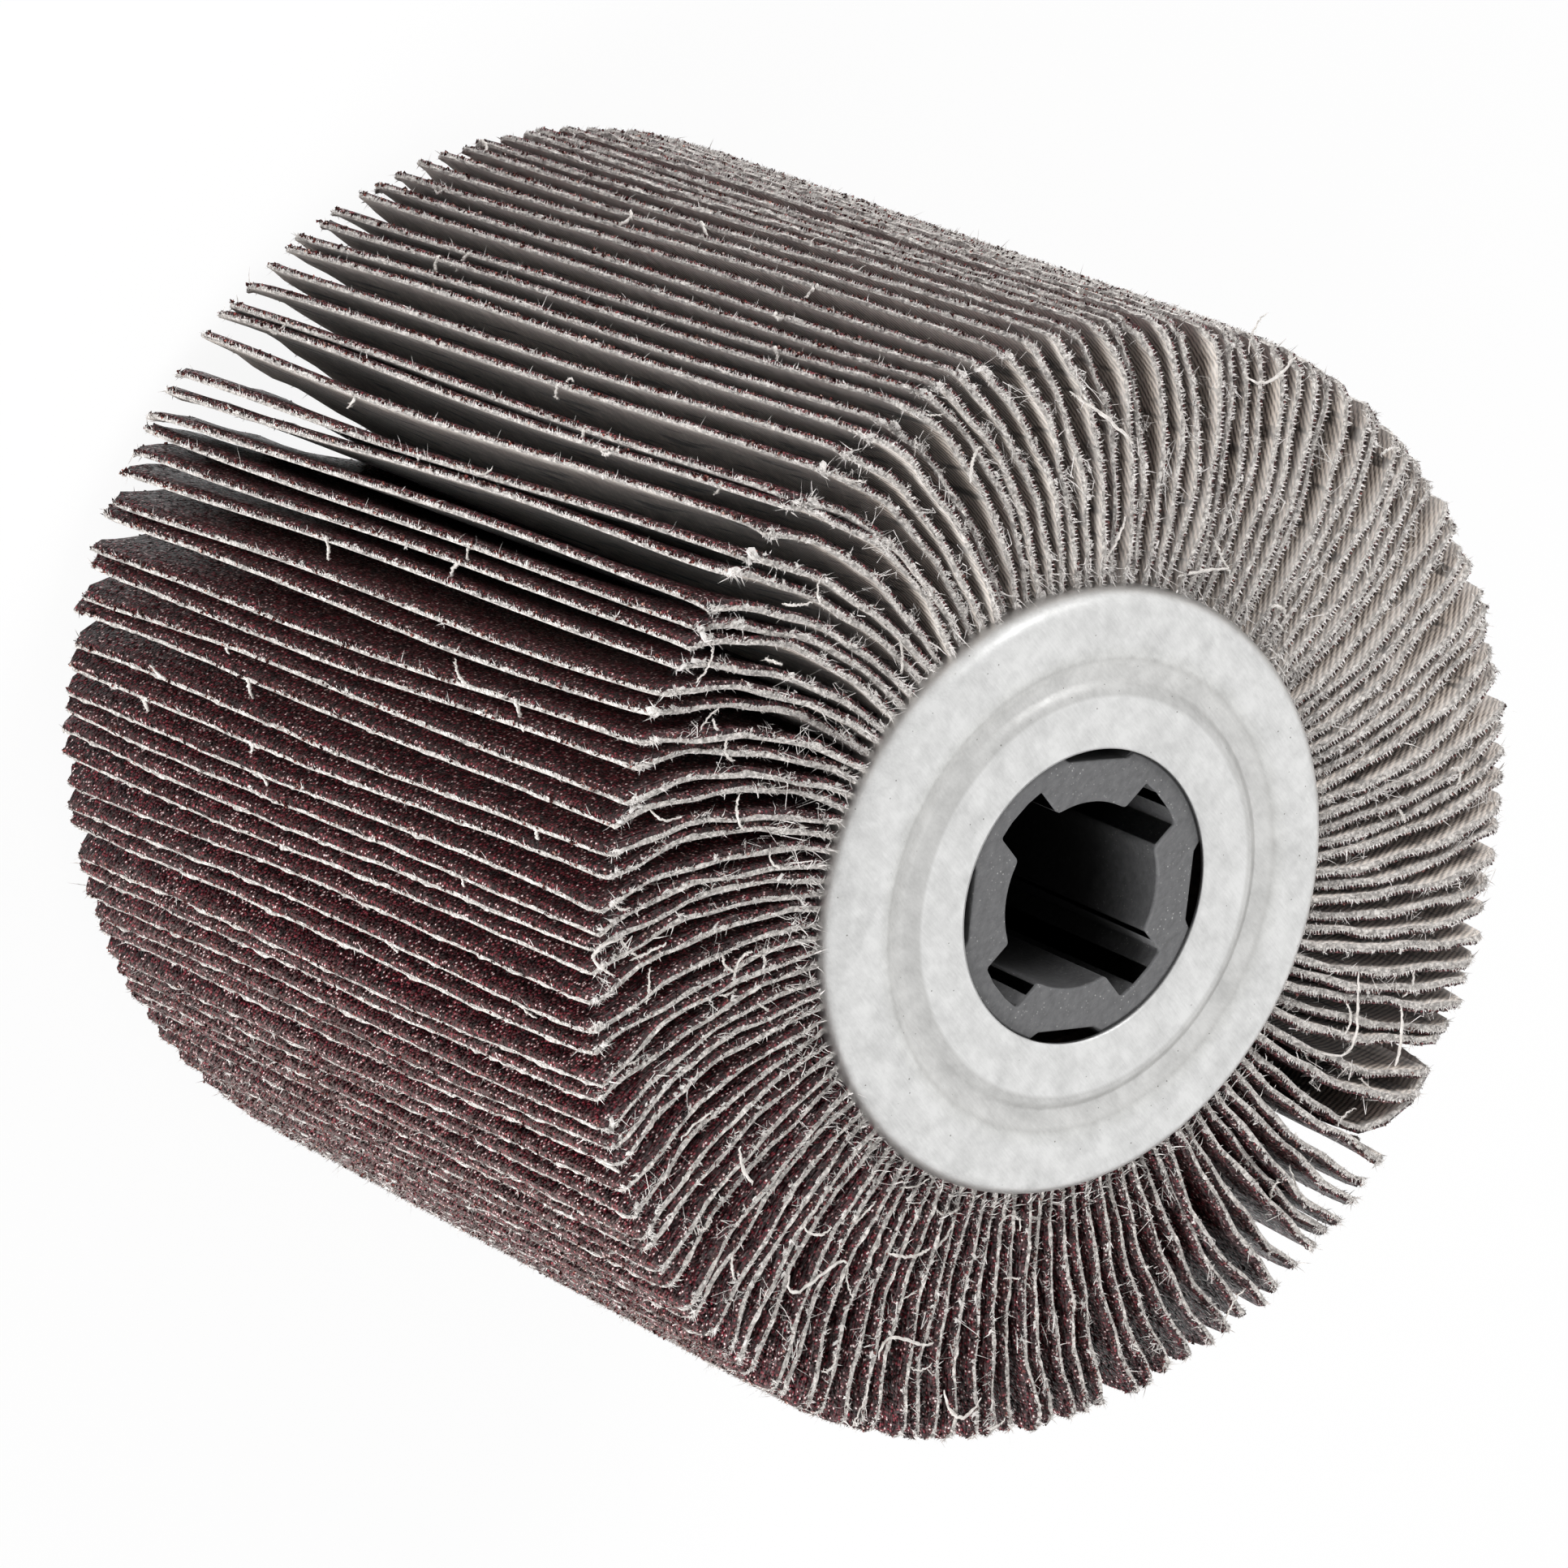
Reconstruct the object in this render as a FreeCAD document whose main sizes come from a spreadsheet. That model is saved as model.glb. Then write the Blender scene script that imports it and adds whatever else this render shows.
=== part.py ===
import FreeCAD, Part
import math
import os
import Sketcher

# A flap wheel for a hand-held burnishing machine, standing on its rear flange.
#
# A moulded hub with a four-key bore runs from end to end. A ring of bonded resin round it holds the
# roots of the abrasive cloth flaps. Their tips trail anticlockwise as seen from the front. A pressed
# sheet flange closes each end: its flat lies on the hub's shoulder, its hole fits the hub's spigot
# and its skirt drops into a recess in the ends of the flaps.
#
# Frame, in millimetres: Z is the wheel's axis and points out of the front flange. The origin is on
# the axis, in the plane that the wheel stands on. The keyways of the bore lie along X and Y.

# Alias, value and meaning of each driving size, in millimetres, degrees or a plain count.
DRIVING_SIZES = [
    ("wheel_diameter", 120.0, "over the tips of the flaps"),
    ("flap_width", 100.0, "length of a flap along the axis"),
    ("flap_count", 136, "flaps round the wheel"),
    ("flap_thickness", 1.0, "cloth and grit together"),
    ("flap_sweep", 7.0, "mean angle by which a tip trails its root"),
    ("sweep_swing", 2.2, "angle by which the sweep is more on one side of the wheel and less on the other"),
    ("swing_direction", 161.0, "direction from X of the flaps with the most sweep"),
    ("flap_curl", 1.5, "power of the height by which the sweep grows, so that a flap leans more at its tip"),
    ("flap_lengths", 3, "flat lengths that stand for the curve of a flap"),
    ("parting_direction", 8.0, "direction from X where the flaps stand apart"),
    ("laid_over_sweep", 4.0, "more sweep of the flap that lies over its neighbours there"),
    ("laid_over_reach", 8.0, "angle over which that extra sweep runs out"),
    ("upright_sweep", 1.6, "less sweep of the flap on the far side of the parting"),
    ("upright_reach", 20.0, "angle over which that lack of sweep runs out"),
    ("flange_clearance", 0.7, "gap between a flange's skirt and the flaps round it"),
    ("resin_depth", 3.0, "depth of the resin's ends below the ends of the flaps"),
    ("hub_wall", 4.5, "wall of the hub behind a keyway"),
    ("glue_line", 0.05, "gap between hub and resin"),
    ("bore_diameter", 20.0, "bore for the keyed spindle"),
    ("key_count", 4, "keyways in the bore, and flutes outside between them"),
    ("keyway_width", 6.5, "width of a keyway"),
    ("keyway_depth", 3.0, "depth of a keyway from the bore"),
    ("keyway_mouth_radius", 0.6, "rounding where a keyway opens into the bore"),
    ("flute_depth", 3.1, "depth of a flute from the outside of the hub"),
    ("flute_floor_width", 6.6, "width of a flute at its floor"),
    ("flute_side_angle", 45.0, "angle by which the side of a flute leans out"),
    ("spigot_height", 0.2, "rise of the hub's spigot into the hole of a flange"),
    ("spigot_clearance", 0.1, "gap between the spigot and that hole"),
    ("flange_diameter", 65.0, "outside of a flange"),
    ("hub_shoulder", 1.75, "width of the hub's shoulder that a flange lies on"),
    ("flange_sheet", 0.8, "thickness of the sheet"),
    ("flange_stand", 2.8, "rise of a flange's face above the ends of the flaps"),
    ("rim_bend_radius", 2.6, "outside radius of the bend at the rim"),
    ("skirt_reach", 2.6, "reach of the skirt below the ends of the flaps"),
    ("groove_offset", 0.2, "how far the bottom of the groove lies inside the middle of the flange's free flat"),
    ("groove_outer_side", 1.7, "run of the groove's outer side"),
    ("groove_inner_side", 1.9, "run of the groove's inner side"),
    ("groove_depth", 0.85, "depth of the pressed groove"),
]
NEAR_ZERO = 1e-9

document = FreeCAD.newDocument("flap_wheel")
sheet = document.addObject("Spreadsheet::Sheet", "Sizes")
for row, (alias, value, meaning) in enumerate(DRIVING_SIZES, start=1):
    sheet.set(f"A{row}", alias)
    sheet.set(f"B{row}", str(value))
    sheet.set(f"C{row}", meaning)
    sheet.setAlias(f"B{row}", alias)
document.recompute()


def size(alias):
    """The value of a named size, as a plain number."""
    return float(sheet.get(alias))


def on_sheet(expression):
    """The expression with each {name} turned into its cell of the sheet."""
    return expression.replace("{", "Sizes.").replace("}", "")


def worked_out(expression):
    """The plain number that an expression gives."""
    return float(sheet.evalExpression(on_sheet(expression)))


# Heights above the plane that the wheel stands on, and widths, that several pieces share.
OVERALL_HEIGHT = "({flap_width} + 2 * {flange_stand})"
SHOULDER_LENGTH = f"({OVERALL_HEIGHT} - 2 * {{flange_sheet}})"
HUB_LENGTH = f"({SHOULDER_LENGTH} + 2 * {{spigot_height}})"
HUB_BASE = "({flange_sheet} - {spigot_height})"
KEYWAY_FLOOR = "({bore_diameter} / 2 + {keyway_depth})"
HUB_RADIUS = f"({KEYWAY_FLOOR} + {{hub_wall}})"
FLUTE_FLOOR = f"({HUB_RADIUS} - {{flute_depth}})"
FLANGE_HOLE = f"({HUB_RADIUS} - {{hub_shoulder}})"
RESIN_DIAMETER = "({flange_diameter} + 2 * {flange_clearance})"


def new_body(name):
    """An empty body under the name of its node."""
    body = document.addObject("PartDesign::Body", name)
    body.Label = name
    return body


def new_sketch(body, name, role, lift=None):
    """A sketch on one of the body's origin planes, lifted off it by an expression."""
    sketch = body.newObject("Sketcher::SketchObject", name)
    base = next(item for item in body.Origin.OriginFeatures if item.Role == role)
    sketch.AttachmentSupport = [(base, "")]
    sketch.MapMode = "FlatFace"
    if lift:
        sketch.setExpression("AttachmentOffset.Base.z", on_sheet(lift))
    return sketch


def hold(sketch, kind, places, expression):
    """Adds a constraint whose value follows an expression."""
    number = sketch.addConstraint(Sketcher.Constraint(kind, *places, worked_out(expression)))
    sketch.setExpression(f"Constraints[{number}]", on_sheet(expression))


def hold_point(sketch, line, end, across, along):
    """Holds one end of a line at two expressions, across and along the sketch's axes."""
    for kind, expression, axis in (("DistanceX", across, -2), ("DistanceY", along, -1)):
        if abs(worked_out(expression)) < NEAR_ZERO:
            sketch.addConstraint(Sketcher.Constraint("PointOnObject", line, end, axis))
        else:
            hold(sketch, kind, (-1, 1, line, end), expression)


def draw_outline(sketch, corners):
    """Draws a closed outline through corners that are pairs of expressions, and holds them."""
    points = [FreeCAD.Vector(worked_out(across), worked_out(along), 0) for across, along in corners]
    for number, start in enumerate(points):
        sketch.addGeometry(Part.LineSegment(start, points[(number + 1) % len(points)]), False)
    for number, (across, along) in enumerate(corners):
        following = (number + 1) % len(corners)
        sketch.addConstraint(Sketcher.Constraint("Coincident", number, 2, following, 1))
        hold_point(sketch, number, 1, across, along)


def draw_circle(sketch, diameter):
    """Draws a circle about the axis and holds its diameter."""
    round_line = Part.Circle(FreeCAD.Vector(0, 0, 0), FreeCAD.Vector(0, 0, 1), worked_out(diameter) / 2)
    number = sketch.addGeometry(round_line, False)
    sketch.addConstraint(Sketcher.Constraint("Coincident", number, 3, -1, 1))
    hold(sketch, "Diameter", (number,), diameter)


def pad(body, name, sketch, length):
    """A pad along +Z by an expression."""
    feature = body.newObject("PartDesign::Pad", name)
    feature.Profile = sketch
    feature.setExpression("Length", on_sheet(length))
    sketch.Visibility = False
    body.Tip = feature
    return feature


def cut_through(body, name, sketch):
    """A pocket that goes through the body both ways from its sketch."""
    feature = body.newObject("PartDesign::Pocket", name)
    feature.Profile = sketch
    feature.Type = "ThroughAll"
    feature.Midplane = True
    sketch.Visibility = False
    body.Tip = feature
    return feature


def repeat_round(body, name, original):
    """The feature repeated round the axis, once for each key."""
    pattern = body.newObject("PartDesign::PolarPattern", name)
    pattern.Originals = [original]
    axis = next(item for item in body.Origin.OriginFeatures if item.Role == "Z_Axis")
    pattern.Axis = (axis, [""])
    pattern.Angle = 360
    pattern.setExpression("Occurrences", on_sheet("{key_count}"))
    body.Tip = pattern
    return pattern


def upright_edges_at(shape, radius):
    """Names of the straight edges along Z at a distance from the axis."""
    names = []
    for number, edge in enumerate(shape.Edges, start=1):
        start, end = edge.Vertexes[0].Point, edge.Vertexes[-1].Point
        straight = math.hypot(start.x - end.x, start.y - end.y) < 1e-6
        if straight and abs(math.hypot(start.x, start.y) - radius) < 1e-4:
            names.append(f"Edge{number}")
    return names


def build_hub():
    """The moulded hub: a barrel with a spigot at each end, four keyways inside, four flutes outside."""
    body = new_body("hub")
    outer = new_sketch(body, "barrel_round", "XY_Plane", "{flange_sheet}")
    draw_circle(outer, f"2 * {HUB_RADIUS}")
    pad(body, "barrel", outer, SHOULDER_LENGTH)
    spigot = new_sketch(body, "spigot_round", "XY_Plane", HUB_BASE)
    draw_circle(spigot, f"2 * ({FLANGE_HOLE} - {{spigot_clearance}})")
    pad(body, "spigots", spigot, HUB_LENGTH)
    bore = new_sketch(body, "bore_round", "XY_Plane")
    draw_circle(bore, "{bore_diameter}")
    cut_through(body, "bore", bore)

    half_key = "({keyway_width} / 2)"
    well_inside = "({bore_diameter} / 4)"
    keyway = new_sketch(body, "keyway_outline", "XY_Plane")
    draw_outline(
        keyway,
        [
            (well_inside, f"-{half_key}"),
            (KEYWAY_FLOOR, f"-{half_key}"),
            (KEYWAY_FLOOR, half_key),
            (well_inside, half_key),
        ],
    )
    first_keyway = cut_through(body, "keyway", keyway)
    keyways = repeat_round(body, "keyways", first_keyway)
    document.recompute()
    mouths = upright_edges_at(keyways.Shape, size("bore_diameter") / 2)
    rounding = body.newObject("PartDesign::Fillet", "keyway_mouths")
    rounding.Base = (keyways, mouths)
    rounding.setExpression("Radius", on_sheet("{keyway_mouth_radius}"))
    body.Tip = rounding

    half_floor = "({flute_floor_width} / 2)"
    outside = f"({HUB_RADIUS} + {{flute_floor_width}})"
    half_mouth = f"({half_floor} + ({outside} - {FLUTE_FLOOR}) * tan({{flute_side_angle}} * 1deg))"
    flute = new_sketch(body, "flute_outline", "XY_Plane")
    flute.setExpression("AttachmentOffset.Rotation.Angle", on_sheet("180deg / {key_count}"))
    draw_outline(
        flute,
        [
            (FLUTE_FLOOR, f"-{half_floor}"),
            (outside, f"-{half_mouth}"),
            (outside, half_mouth),
            (FLUTE_FLOOR, half_floor),
        ],
    )
    first_flute = cut_through(body, "flute", flute)
    repeat_round(body, "flutes", first_flute)
    return body


def build_flange(name, front):
    """A pressed sheet flange, revolved from the section of its sheet.

    The section runs along the face from the hole to the end of the skirt, and back inside.
    """
    def height(depth):
        """Height of a point that lies below the flange's face by an expression."""
        return f"({OVERALL_HEIGHT} - ({depth}))" if front else f"({depth})"

    def on_bend(radius):
        """The point half way round the bend of the rim, at a radius from the bend's centre."""
        return (f"({rim} - {bend} + {radius} * cos(45))", height(f"{bend} - {radius} * sin(45)"))

    sheet_t = "{flange_sheet}"
    rim = "({flange_diameter} / 2)"
    bend = "{rim_bend_radius}"
    valley = f"(({HUB_RADIUS} + {rim} - {bend}) / 2 - {{groove_offset}})"
    outer = f"({valley} + {{groove_outer_side}})"
    inner = f"({valley} - {{groove_inner_side}})"
    skirt_end = "({flange_stand} + {skirt_reach})"
    inner_lean = "atan({groove_depth} / {groove_inner_side})"
    outer_lean = "atan({groove_depth} / {groove_outer_side})"
    valley_depth = f"({{groove_depth}} + {sheet_t} / cos(({inner_lean} + {outer_lean}) / 2))"
    body = new_body(name)
    section = new_sketch(body, f"{name}_section", "XZ_Plane")
    draw_outline(
        section,
        [
            (FLANGE_HOLE, height("0")),
            (inner, height("0")),
            (valley, height("{groove_depth}")),
            (outer, height("0")),
            (f"({rim} - {bend})", height("0")),
            on_bend(bend),
            (rim, height(bend)),
            (rim, height(skirt_end)),
            (f"({rim} - {sheet_t})", height(skirt_end)),
            (f"({rim} - {sheet_t})", height(bend)),
            on_bend(f"({bend} - {sheet_t})"),
            (f"({rim} - {bend})", height(sheet_t)),
            (f"({outer} + {sheet_t} * tan({outer_lean} / 2))", height(sheet_t)),
            (valley, height(valley_depth)),
            (f"({inner} - {sheet_t} * tan({inner_lean} / 2))", height(sheet_t)),
            (FLANGE_HOLE, height(sheet_t)),
        ],
    )
    turned = body.newObject("PartDesign::Revolution", f"{name}_pressing")
    turned.Profile = section
    turned.ReferenceAxis = (section, ["V_Axis"])
    turned.Angle = 360
    section.Visibility = False
    body.Tip = turned
    return body


def turn_between(start, end):
    """The signed angle from one direction to another, within half a turn, in degrees."""
    return (end - start + 180.0) % 360.0 - 180.0


def sweep_of(direction):
    """The angle by which the tip of a flap trails its root, from the direction of the root."""
    swing = size("sweep_swing") * math.cos(math.radians(direction - size("swing_direction")))
    sweep = size("flap_sweep") + swing
    past_parting = turn_between(size("parting_direction"), direction)
    if 0.0 <= past_parting < size("laid_over_reach"):
        sweep += size("laid_over_sweep") * (1.0 - past_parting / size("laid_over_reach"))
    if -size("upright_reach") < past_parting < 0.0:
        sweep -= size("upright_sweep") * (1.0 + past_parting / size("upright_reach"))
    return sweep


def flap_sides(direction):
    """Points up a flap's two sides, from its root to its tip, the clockwise side first."""
    root, tip = worked_out(RESIN_DIAMETER) / 2, size("wheel_diameter") / 2
    lengths, curl = int(size("flap_lengths")), size("flap_curl")
    sweep = math.radians(sweep_of(direction))
    sides = ([], [])
    for step in range(lengths + 1):
        share = step / lengths
        radius = root + share * (tip - root)
        turn = sweep * share**curl
        lean = sweep * curl * share ** (curl - 1) * radius / (tip - root)
        half_angle = size("flap_thickness") / 2 * math.hypot(1.0, lean) / radius
        for side, hand in zip(sides, (-1.0, 1.0)):
            angle = math.radians(direction) + turn + hand * half_angle
            side.append(FreeCAD.Vector(radius * math.cos(angle), radius * math.sin(angle), 0))
    return sides


def upright_prism(outline, height, base, hole=None):
    """A solid that stands on a closed outline of points, with a round hole if a radius is given."""
    wires = [Part.makePolygon(outline + outline[:1])]
    if hole:
        wires.append(Part.Wire(Part.makeCircle(hole)))
    plan = Part.Face(wires, "Part::FaceMakerBullseye")
    prism = plan.extrude(FreeCAD.Vector(0, 0, height))
    prism.translate(FreeCAD.Vector(0, 0, base))
    return prism


def build_flap_pack():
    """The resin ring and the flaps that stand out of it, whose ends reach past the resin's."""
    pitch = 360.0 / size("flap_count")
    base, depth, width = size("flange_stand"), size("resin_depth"), size("flap_width")
    roots = []
    flaps = []
    for number in range(int(size("flap_count"))):
        near, far = flap_sides((number + 0.5) * pitch)
        roots += [near[0], far[0]]
        flaps.append(upright_prism(near + far[::-1], width, base))
    hub_room = worked_out(HUB_RADIUS) + size("glue_line")
    resin = upright_prism(roots, width - 2 * depth, base + depth, hub_room)
    feature = document.addObject("Part::Feature", "flap_pack")
    feature.Shape = resin.multiFuse(flaps).Solids[0]
    feature.Label = "flap_pack"
    return feature


nodes = [
    build_hub(),
    build_flange("front_flange", front=True),
    build_flange("rear_flange", front=False),
    build_flap_pack(),
]
document.recompute()

for item in document.Objects:
    if "Invalid" in item.State or "Error" in item.State:
        raise RuntimeError(f"{item.Label} did not rebuild: {item.State}")
os.makedirs("parts", exist_ok=True)
for node in nodes:
    if node.Shape.isNull() or not node.Shape.isValid() or len(node.Shape.Solids) != 1:
        raise RuntimeError(f"{node.Label} is not one sound solid")
    node.Shape.exportStep(f"parts/{node.Label}.step")
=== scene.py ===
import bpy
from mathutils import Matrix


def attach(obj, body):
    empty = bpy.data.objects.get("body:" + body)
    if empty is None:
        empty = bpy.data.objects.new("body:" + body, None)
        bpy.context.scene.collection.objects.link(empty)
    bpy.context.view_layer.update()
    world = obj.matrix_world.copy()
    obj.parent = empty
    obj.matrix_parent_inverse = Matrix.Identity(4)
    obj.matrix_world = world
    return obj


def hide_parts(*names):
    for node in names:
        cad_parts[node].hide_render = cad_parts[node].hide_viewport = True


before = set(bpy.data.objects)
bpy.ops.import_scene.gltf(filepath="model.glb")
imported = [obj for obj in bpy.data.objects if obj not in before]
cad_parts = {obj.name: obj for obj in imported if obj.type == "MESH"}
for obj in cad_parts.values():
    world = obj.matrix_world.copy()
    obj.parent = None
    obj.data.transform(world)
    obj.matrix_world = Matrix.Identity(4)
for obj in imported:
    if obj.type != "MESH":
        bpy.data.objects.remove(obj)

"""Looks of a flap wheel: frayed abrasive cloth flaps, pressed flanges and a moulded hub."""

import logging
import math
from dataclasses import dataclass, field
from enum import Enum

import bpy
import numpy as np
from mathutils import Matrix, Vector

LOG = logging.getLogger("flap_wheel")
MM = 0.001
UP = np.array([0.0, 0.0, 1.0])
# No loose lint reaches lower than this, so none goes through the floor.
LOWEST = 0.05 * MM


class End(Enum):
    """The two ends of the wheel."""

    FRONT = "front"
    REAR = "rear"


class Edge(Enum):
    """The free edges of a flap."""

    TIP = "tip"
    FRONT = "front"
    REAR = "rear"


def linear(colour: str) -> tuple[float, float, float, float]:
    """Turns an sRGB hex colour to linear light.

    Args:
        colour: the colour as "#rrggbb".

    Returns:
        Red, green, blue and an alpha of 1.
    """
    parts = [int(colour[place : place + 2], 16) / 255 for place in (1, 3, 5)]
    light = [part / 12.92 if part <= 0.04045 else ((part + 0.055) / 1.055) ** 2.4 for part in parts]
    return (light[0], light[1], light[2], 1.0)


def feed(tree: bpy.types.NodeTree, made: bpy.types.Node, inputs: dict) -> None:
    """Sets or links a node's inputs.

    Args:
        tree: the tree that holds the node.
        made: the node.
        inputs: for each input, by name or number, a value, an output or a node whose result it takes.
            By number, Map Range (0) takes 1 to 3 and 2 to 4; Mix blends 2 into 3, or the colours 6
            into 7, by the share 0.
    """
    for name, value in inputs.items():
        if isinstance(value, bpy.types.Node):
            value = next(output for output in value.outputs if output.enabled)
        if isinstance(value, bpy.types.NodeSocket):
            tree.links.new(value, made.inputs[name])
        else:
            made.inputs[name].default_value = value


def node(tree: bpy.types.NodeTree, kind: str, inputs: dict | None = None, **settings) -> bpy.types.Node:
    """Adds a node with its settings and links.

    Args:
        tree: the tree that gets the node.
        kind: the node's Blender type, without its "ShaderNode".
        inputs: what each input gets, as for feed.
        settings: values of the node's own properties; stops gives a ramp's places and hex colours.

    Returns:
        The new node.
    """
    made = tree.nodes.new(f"ShaderNode{kind}")
    stops = settings.pop("stops", ())
    for name, value in settings.items():
        setattr(made, name, value)
    feed(tree, made, inputs or {})
    for number, (place, colour) in enumerate(stops):
        elements = made.color_ramp.elements
        element = elements[number] if number < len(elements) else elements.new(place)
        element.position = place
        element.color = linear(colour)
    return made


def new_material(name: str) -> tuple[bpy.types.Material, bpy.types.NodeTree, bpy.types.Node]:
    """Makes a material.

    Args:
        name: its name.

    Returns:
        The material, its tree and its empty surface shader.
    """
    material = bpy.data.materials.new(name)
    material.use_nodes = True
    return material, material.node_tree, material.node_tree.nodes["Principled BSDF"]


def seen_directly(tree: bpy.types.NodeTree) -> tuple[bpy.types.Node, bpy.types.Node]:
    """Tells looks from light: 1 for a camera, gloss or glass ray, and 0 for any other.

    Args:
        tree: the tree that gets the nodes.

    Returns:
        The light path and the node with the answer.
    """
    path = node(tree, "LightPath")
    camera, gloss, glass = (path.outputs[f"Is {ray} Ray"] for ray in ("Camera", "Glossy", "Transmission"))
    seen = node(tree, "Math", {0: camera, 1: gloss}, operation="MAXIMUM")
    return path, node(tree, "Math", {0: seen, 1: glass}, operation="MAXIMUM")


@dataclass(frozen=True)
class AluminiumOxideGrit:
    """Brown aluminium oxide grains in a dark red resin, electrostatically coated on the cloth.

    The eye gets a deep maroon ground that is broken into grains, with painted shade between them
    and painted glints, a few random spots painted nearly white as if facets faced the light, and a
    dusty, paler border where the tips rub on the work. The plain gloss is low, because the painted
    glints stand for it.
    """

    name: str = "aluminium_oxide_grit"
    # Grains of this grit are about 0.2 mm, too fine to show in the render: drawn at 0.38 mm.
    grain: float = 0.38 * MM
    grain_core: tuple = (0.24, 0.52)
    # Painted shade: the gaps between grains are painted nearly black.
    between: str = "#120507"
    tones: tuple = ("#0e0506", "#42121d", "#983542", "#c97a7e")
    shares: tuple = (0.0, 0.3, 0.65, 0.9)
    facet_tilt: float = 1.4
    relief: float = 0.25 * MM
    roughness: float = 0.3
    # Painted glints: single facets flash over about 0.1 mm; the glints are painted nearly white, as wide as a
    # drawn grain's middle.
    glint: float = 0.38 * MM
    glint_core: tuple = (0.22, 0.36)
    flash: float = 0.73
    painted_glint_tone: str = "#fbf3f1"
    flash_metal: float = 0.15
    # Dust on the last millimetre below the tips, with more of it toward one fixed side of the wheel, near -y.
    tip: float = 60.0 * MM
    worn: float = 1.0 * MM
    paler_side: tuple = (-0.1, -0.995, 0.0)
    paler_from: float = 0.86
    dusting: float = 0.15
    most_dust: float = 0.45
    dust: str = "#cdb9b4"
    # Greyer dust on a border along the front ends.
    front: float = 102.8 * MM
    border: float = 3.0 * MM
    border_dust: float = 0.9
    front_dust: str = "#6e6666"
    smear: float = 0.34 * MM
    smear_lean: float = 0.24
    smear_edge: tuple = (0.45, 0.62)

    def material(self) -> bpy.types.Material:
        """Makes the finish.

        Returns:
            The material.
        """
        material, tree, surface = new_material(self.name)
        place = node(tree, "TexCoord").outputs["Object"]
        cells = node(tree, "TexVoronoi", {"Vector": place, "Scale": 1 / self.grain})
        split = node(tree, "SeparateColor", {0: cells.outputs["Color"]})
        grains = node(tree, "ValToRGB", {0: split}, stops=tuple(zip(self.shares, self.tones)))
        low, high = self.grain_core
        # Painted shade: the border of each grain cell is painted toward the near-black between-colour.
        speck = node(tree, "MapRange", {0: cells.outputs["Distance"], 1: low, 2: high, 3: 0.0, 4: 0.9})
        with_painted_gap_shade = node(tree, "Mix", {0: speck, 6: grains, 7: linear(self.between)}, data_type="RGBA")

        flat = node(tree, "VectorMath", {0: place, 1: (1.0, 1.0, 0.0)}, operation="MULTIPLY")
        away = node(tree, "VectorMath", {0: flat}, operation="LENGTH")
        side = node(tree, "VectorMath", {0: place, 1: self.paler_side}, operation="DOT_PRODUCT")
        toward_paler_side = node(
            tree, "MapRange",
            {0: side, 1: self.paler_from * self.tip, 2: self.tip, 3: self.dusting, 4: self.most_dust},
        )
        near_tip = node(tree, "MapRange", {0: away, 1: self.tip - self.worn, 2: self.tip, 3: 0.0, 4: toward_paler_side})
        height = node(tree, "SeparateXYZ", {0: place}).outputs["Z"]
        near_front = node(
            tree, "MapRange",
            {0: height, 1: self.front - self.border, 2: self.front, 3: 0.0, 4: self.border_dust},
        )

        cloth = node(tree, "UVMap", uv_map="cloth").outputs["UV"]
        smeared = node(
            tree, "Mapping", {"Vector": cloth, "Rotation": (0, 0, self.smear_lean), "Scale": (0.2, 1.0, 1.0)}
        )
        smears = node(
            tree, "TexNoise", {"Vector": smeared, "Scale": 1 / self.smear, "Detail": 4.0, "Roughness": 0.6}
        )
        low, high = self.smear_edge
        dusty = node(tree, "MapRange", {0: smears, 1: low, 2: high, 3: 0.0, 4: 1.0})
        dust = node(tree, "Math", {0: near_tip, 1: dusty}, operation="MULTIPLY")
        reddish = node(tree, "Mix", {0: dust, 6: with_painted_gap_shade, 7: linear(self.dust)}, data_type="RGBA")
        grey = node(tree, "Math", {0: near_front, 1: dusty}, operation="MULTIPLY")
        colour = node(tree, "Mix", {0: grey, 6: reddish, 7: linear(self.front_dust)}, data_type="RGBA")

        # Painted glints: random spots painted nearly white, with a little metal, stand in for facets that
        # catch the light.
        glints = node(tree, "TexVoronoi", {"Vector": place, "Scale": 1 / self.glint})
        drawn = node(tree, "SeparateColor", {0: glints.outputs["Color"]})
        lit = node(tree, "MapRange", {0: drawn, 1: self.flash, 2: self.flash + 0.03, 3: 0.0, 4: 1.0})
        low, high = self.glint_core
        core = node(tree, "MapRange", {0: glints.outputs["Distance"], 1: low, 2: high, 3: 1.0, 4: 0.0})
        bright = node(tree, "Math", {0: lit, 1: core}, operation="MULTIPLY")
        with_painted_glints = node(tree, "Mix", {0: bright, 6: colour, 7: linear(self.painted_glint_tone)}, data_type="RGBA")
        mirrored = node(tree, "Math", {0: bright, 1: self.flash_metal}, operation="MULTIPLY")

        facet = node(
            tree, "VectorMath", {0: cells.outputs["Color"], 1: (0.5, 0.5, 0.5)}, operation="SUBTRACT"
        )
        tilt = node(tree, "VectorMath", {0: facet, "Scale": self.facet_tilt}, operation="SCALE")
        normal = node(tree, "NewGeometry").outputs["Normal"]
        leant = node(tree, "VectorMath", {0: normal, 1: tilt}, operation="ADD")
        facing = node(tree, "VectorMath", {0: leant}, operation="NORMALIZE")
        bump = node(
            tree, "Bump",
            {"Height": cells.outputs["Distance"], "Normal": facing, "Distance": self.relief}, invert=True,
        )
        feed(tree, surface, {"Base Color": with_painted_glints, "Metallic": mirrored, "Normal": bump})
        feed(tree, surface, {"Roughness": self.roughness, "Specular IOR Level": 0.1})
        return material


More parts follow.
